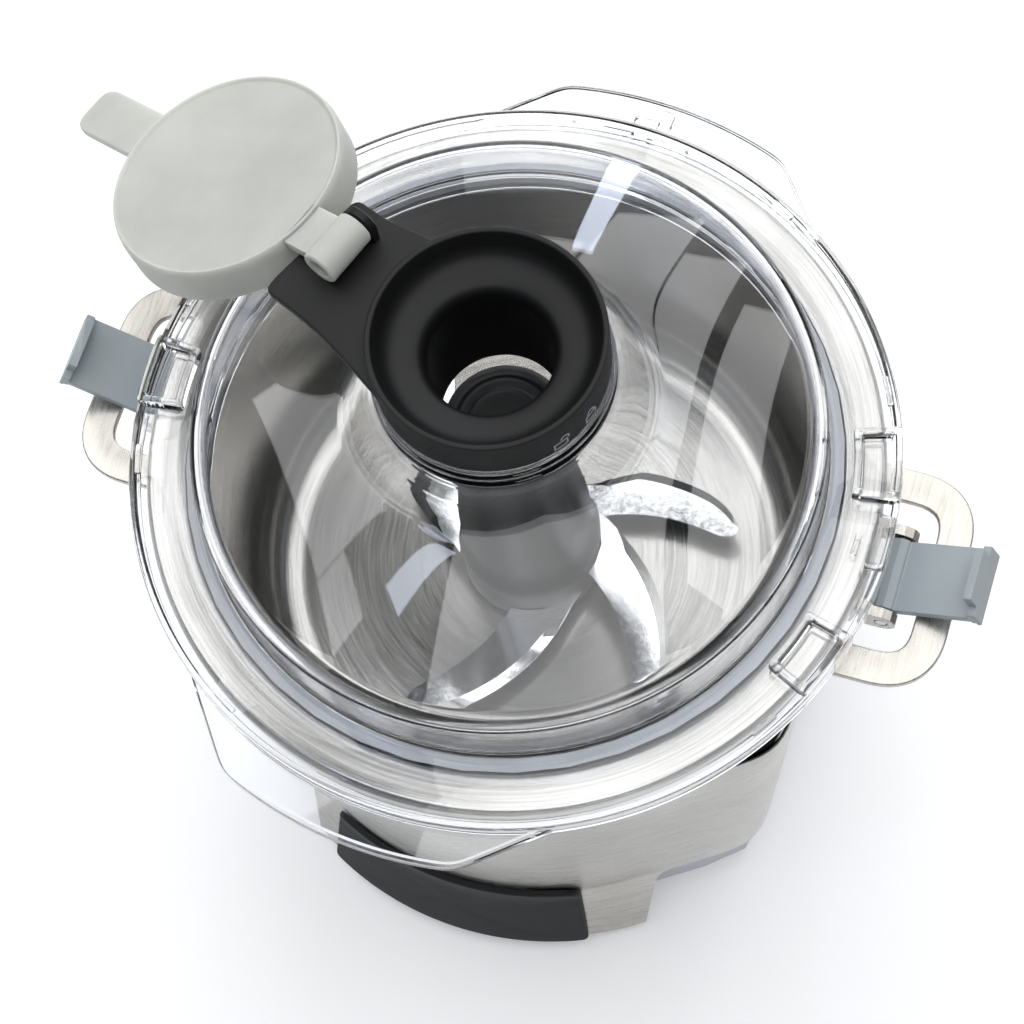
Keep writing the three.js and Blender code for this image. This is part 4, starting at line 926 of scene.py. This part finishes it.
# The nodes that keep their CAD shape: each gets its finish, and a small bevel on its hard edges.
kept = {
    "base_tray": ("trayGrey", 0.5), "bowl_connector": ("innerGrey", 0.3),
    "temperature_probe": ("turnedSteel", 0.2),
    "mains_inlet": ("panelBlack", 0.4), "switch_frame": ("panelBlack", 0.3), "rocker_key": ("hubBlack", 0.3),
    "lower_motor_frame": ("castAluminium", 0.3), "upper_motor_frame": ("castAluminium", 0.3),
    "lower_bearing": ("turnedSteel", 0.3), "upper_bearing": ("turnedSteel", 0.3),
    "motor_stator": ("winding", 0.4),
    "motor_rotor": ("blackIron", 0.3), "motor_shaft": ("turnedSteel", 0.3), "cooling_fan": ("innerGrey", 0.2),
    "drive_coupling": ("innerGrey", 0.3), "driven_coupling": ("innerGrey", 0.3),
    "drive_spindle": ("turnedSteel", 0.4), "spindle_bush": ("turnedSteel", 0.3),
    "spindle_seal": ("footRubber", 0.3), "heating_disc": ("castAluminium", 0.4),
    "control_board": ("board", 0.0), "power_board": ("board", 0.0),
    "lid_gasket": ("gasketGrey", 0.2), "funnel_gasket": ("gasketGrey", 0.2),
}
for hand in ("left", "right"):
    kept.update({f"{hand}_bracket": ("handleSteel", 0.5), f"{hand}_clip_pin": ("turnedSteel", 0.2),
                 f"{hand}_clip": ("clipGrey", 0.45)})
kept.update({f"foot_{i}": ("footRubber", 0.4) for i in (1, 2, 3, 4)})
kept.update({f"tray_screw_{i}": ("blackIron", 0.2) for i in (1, 2, 3, 4)})


def dressNodes():
    for name, (finish, edge) in kept.items():
        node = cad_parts[name]
        node.data.materials.clear()
        node.data.materials.append(finishes[finish])
        if edge:
            weld = node.modifiers.new("weld", "WELD")
            weld.merge_threshold = 0.01 * mm
            bevel = node.modifiers.new("bevel", "BEVEL")
            bevel.width = edge * mm
            bevel.segments = 3
            bevel.limit_method = "ANGLE"
            bevel.angle_limit = math.radians(40)
            bevel.harden_normals = True


dressNodes()


# A pale floor that glows a little, so that it stays white under the machine's soft shadow.
def makeStage():
    half = 3000 * mm
    mesh = bpy.data.meshes.new("floor")
    mesh.from_pydata([(x, y, 0) for x, y in rectangle(-half, -half, half, half)], [], [[0, 1, 2, 3]])
    floor = bpy.data.objects.new("floor", mesh)
    bpy.context.collection.objects.link(floor)
    material, tree, shader, place = startMaterial("paintedStudioFloor")
    haze = addNode(tree, "TexNoise", {"Vector": place, "Scale": 3.0}).outputs[0]
    tree.links.new(shades(tree, haze, "#f6f7f8", "#f9fafb"), shader.inputs["Base Color"])
    shader.inputs["Roughness"].default_value = 0.7
    shader.inputs["Emission Color"].default_value = linear("#fbfbfc")
    shader.inputs["Emission Strength"].default_value = 0.2
    floor.data.materials.append(material)


# A lamp with a rectangular face that looks from its place to a target.
def addSoftbox(name, place, target, size, watts, colour="#ffffff", turn=0.0):
    data = bpy.data.lights.new(name, "AREA")
    data.shape = "RECTANGLE"
    data.size, data.size_y = size[0] * mm, size[1] * mm
    data.energy = watts
    data.color = linear(colour)[:3]
    lamp = bpy.data.objects.new(name, data)
    bpy.context.collection.objects.link(lamp)
    back = np.array(place, float) - np.array(target, float)
    back /= np.linalg.norm(back)
    side = np.cross((0.0, 0.0, 1.0), back)
    side = side / np.linalg.norm(side) if np.linalg.norm(side) > 1e-6 else np.array((1.0, 0.0, 0.0))
    matrix = Matrix.Identity(4)
    for column, axis in enumerate((side, np.cross(back, side), back)):
        matrix.col[column][:3] = axis
    matrix.translation = np.array(place, float) * mm
    lamp.matrix_world = matrix @ Matrix.Rotation(math.radians(turn), 4, "Z")


# The ceiling is a bank of panels with dark seams between them. Each is its middle x and y, its length
# and width, and its turn in degrees. Brightness is what a panel shows, where white is 1.
lights = {"height": 1500, "brightness": 2.4,
          "panels": ((270, -215, 1020, 1430, 0), (80, 1920, 640, 2760, 0), (600, 1600, 360, 2120, 0),
                     (995, 1000, 250, 2200, 0), (-1280, 328, 1667, 1050, -42.2),
                     (-838, -685, 330, 150, -42.2), (-590, 1600, 620, 1800, 0), (-420, 540, 280, 300, 0),
                     (-1210, 1870, 580, 1260, 0))}


def makeLight():
    world = bpy.data.worlds.new("studio")
    world.use_nodes = True
    bpy.context.scene.world = world
    tree = world.node_tree
    sky = addNode(tree, "TexCoord").outputs["Generated"]
    height = addNode(tree, "SeparateXYZ", {0: sky}).outputs["Z"]
    ramp = addNode(tree, "ValToRGB", {"Fac": height})
    ramp.color_ramp.elements[0].position = 0.0
    ramp.color_ramp.elements[0].color = linear("#dfe1e5")
    ramp.color_ramp.elements[1].position = 0.6
    ramp.color_ramp.elements[1].color = linear("#505358")
    tree.links.new(ramp.outputs[0], tree.nodes["Background"].inputs["Color"])
    tree.nodes["Background"].inputs["Strength"].default_value = 0.75
    for number, (x, y, length, width, turn) in enumerate(lights["panels"]):
        watts = lights["brightness"] * math.pi * length * width * mm * mm
        addSoftbox(f"panel{number}", (x, y, lights["height"]), (x, y, 0), (length, width), watts, turn=turn)
    addSoftbox("backWall", (-200, 3600, 900), (0, 0, 250), (3200, 1000), 8.0)
    addSoftbox("backStrip", (-140, 1280, 700), (0, 75, 245), (90, 420), 0.9, "#e4edff")
    addSoftbox("leftStrip", (-345, -455, 1350), (0, 0, 240), (120, 330), 0.7, "#e4edff")


makeStage()
makeLight()
bpy.context.scene.view_settings.view_transform = "Standard"
print("stage and light set")
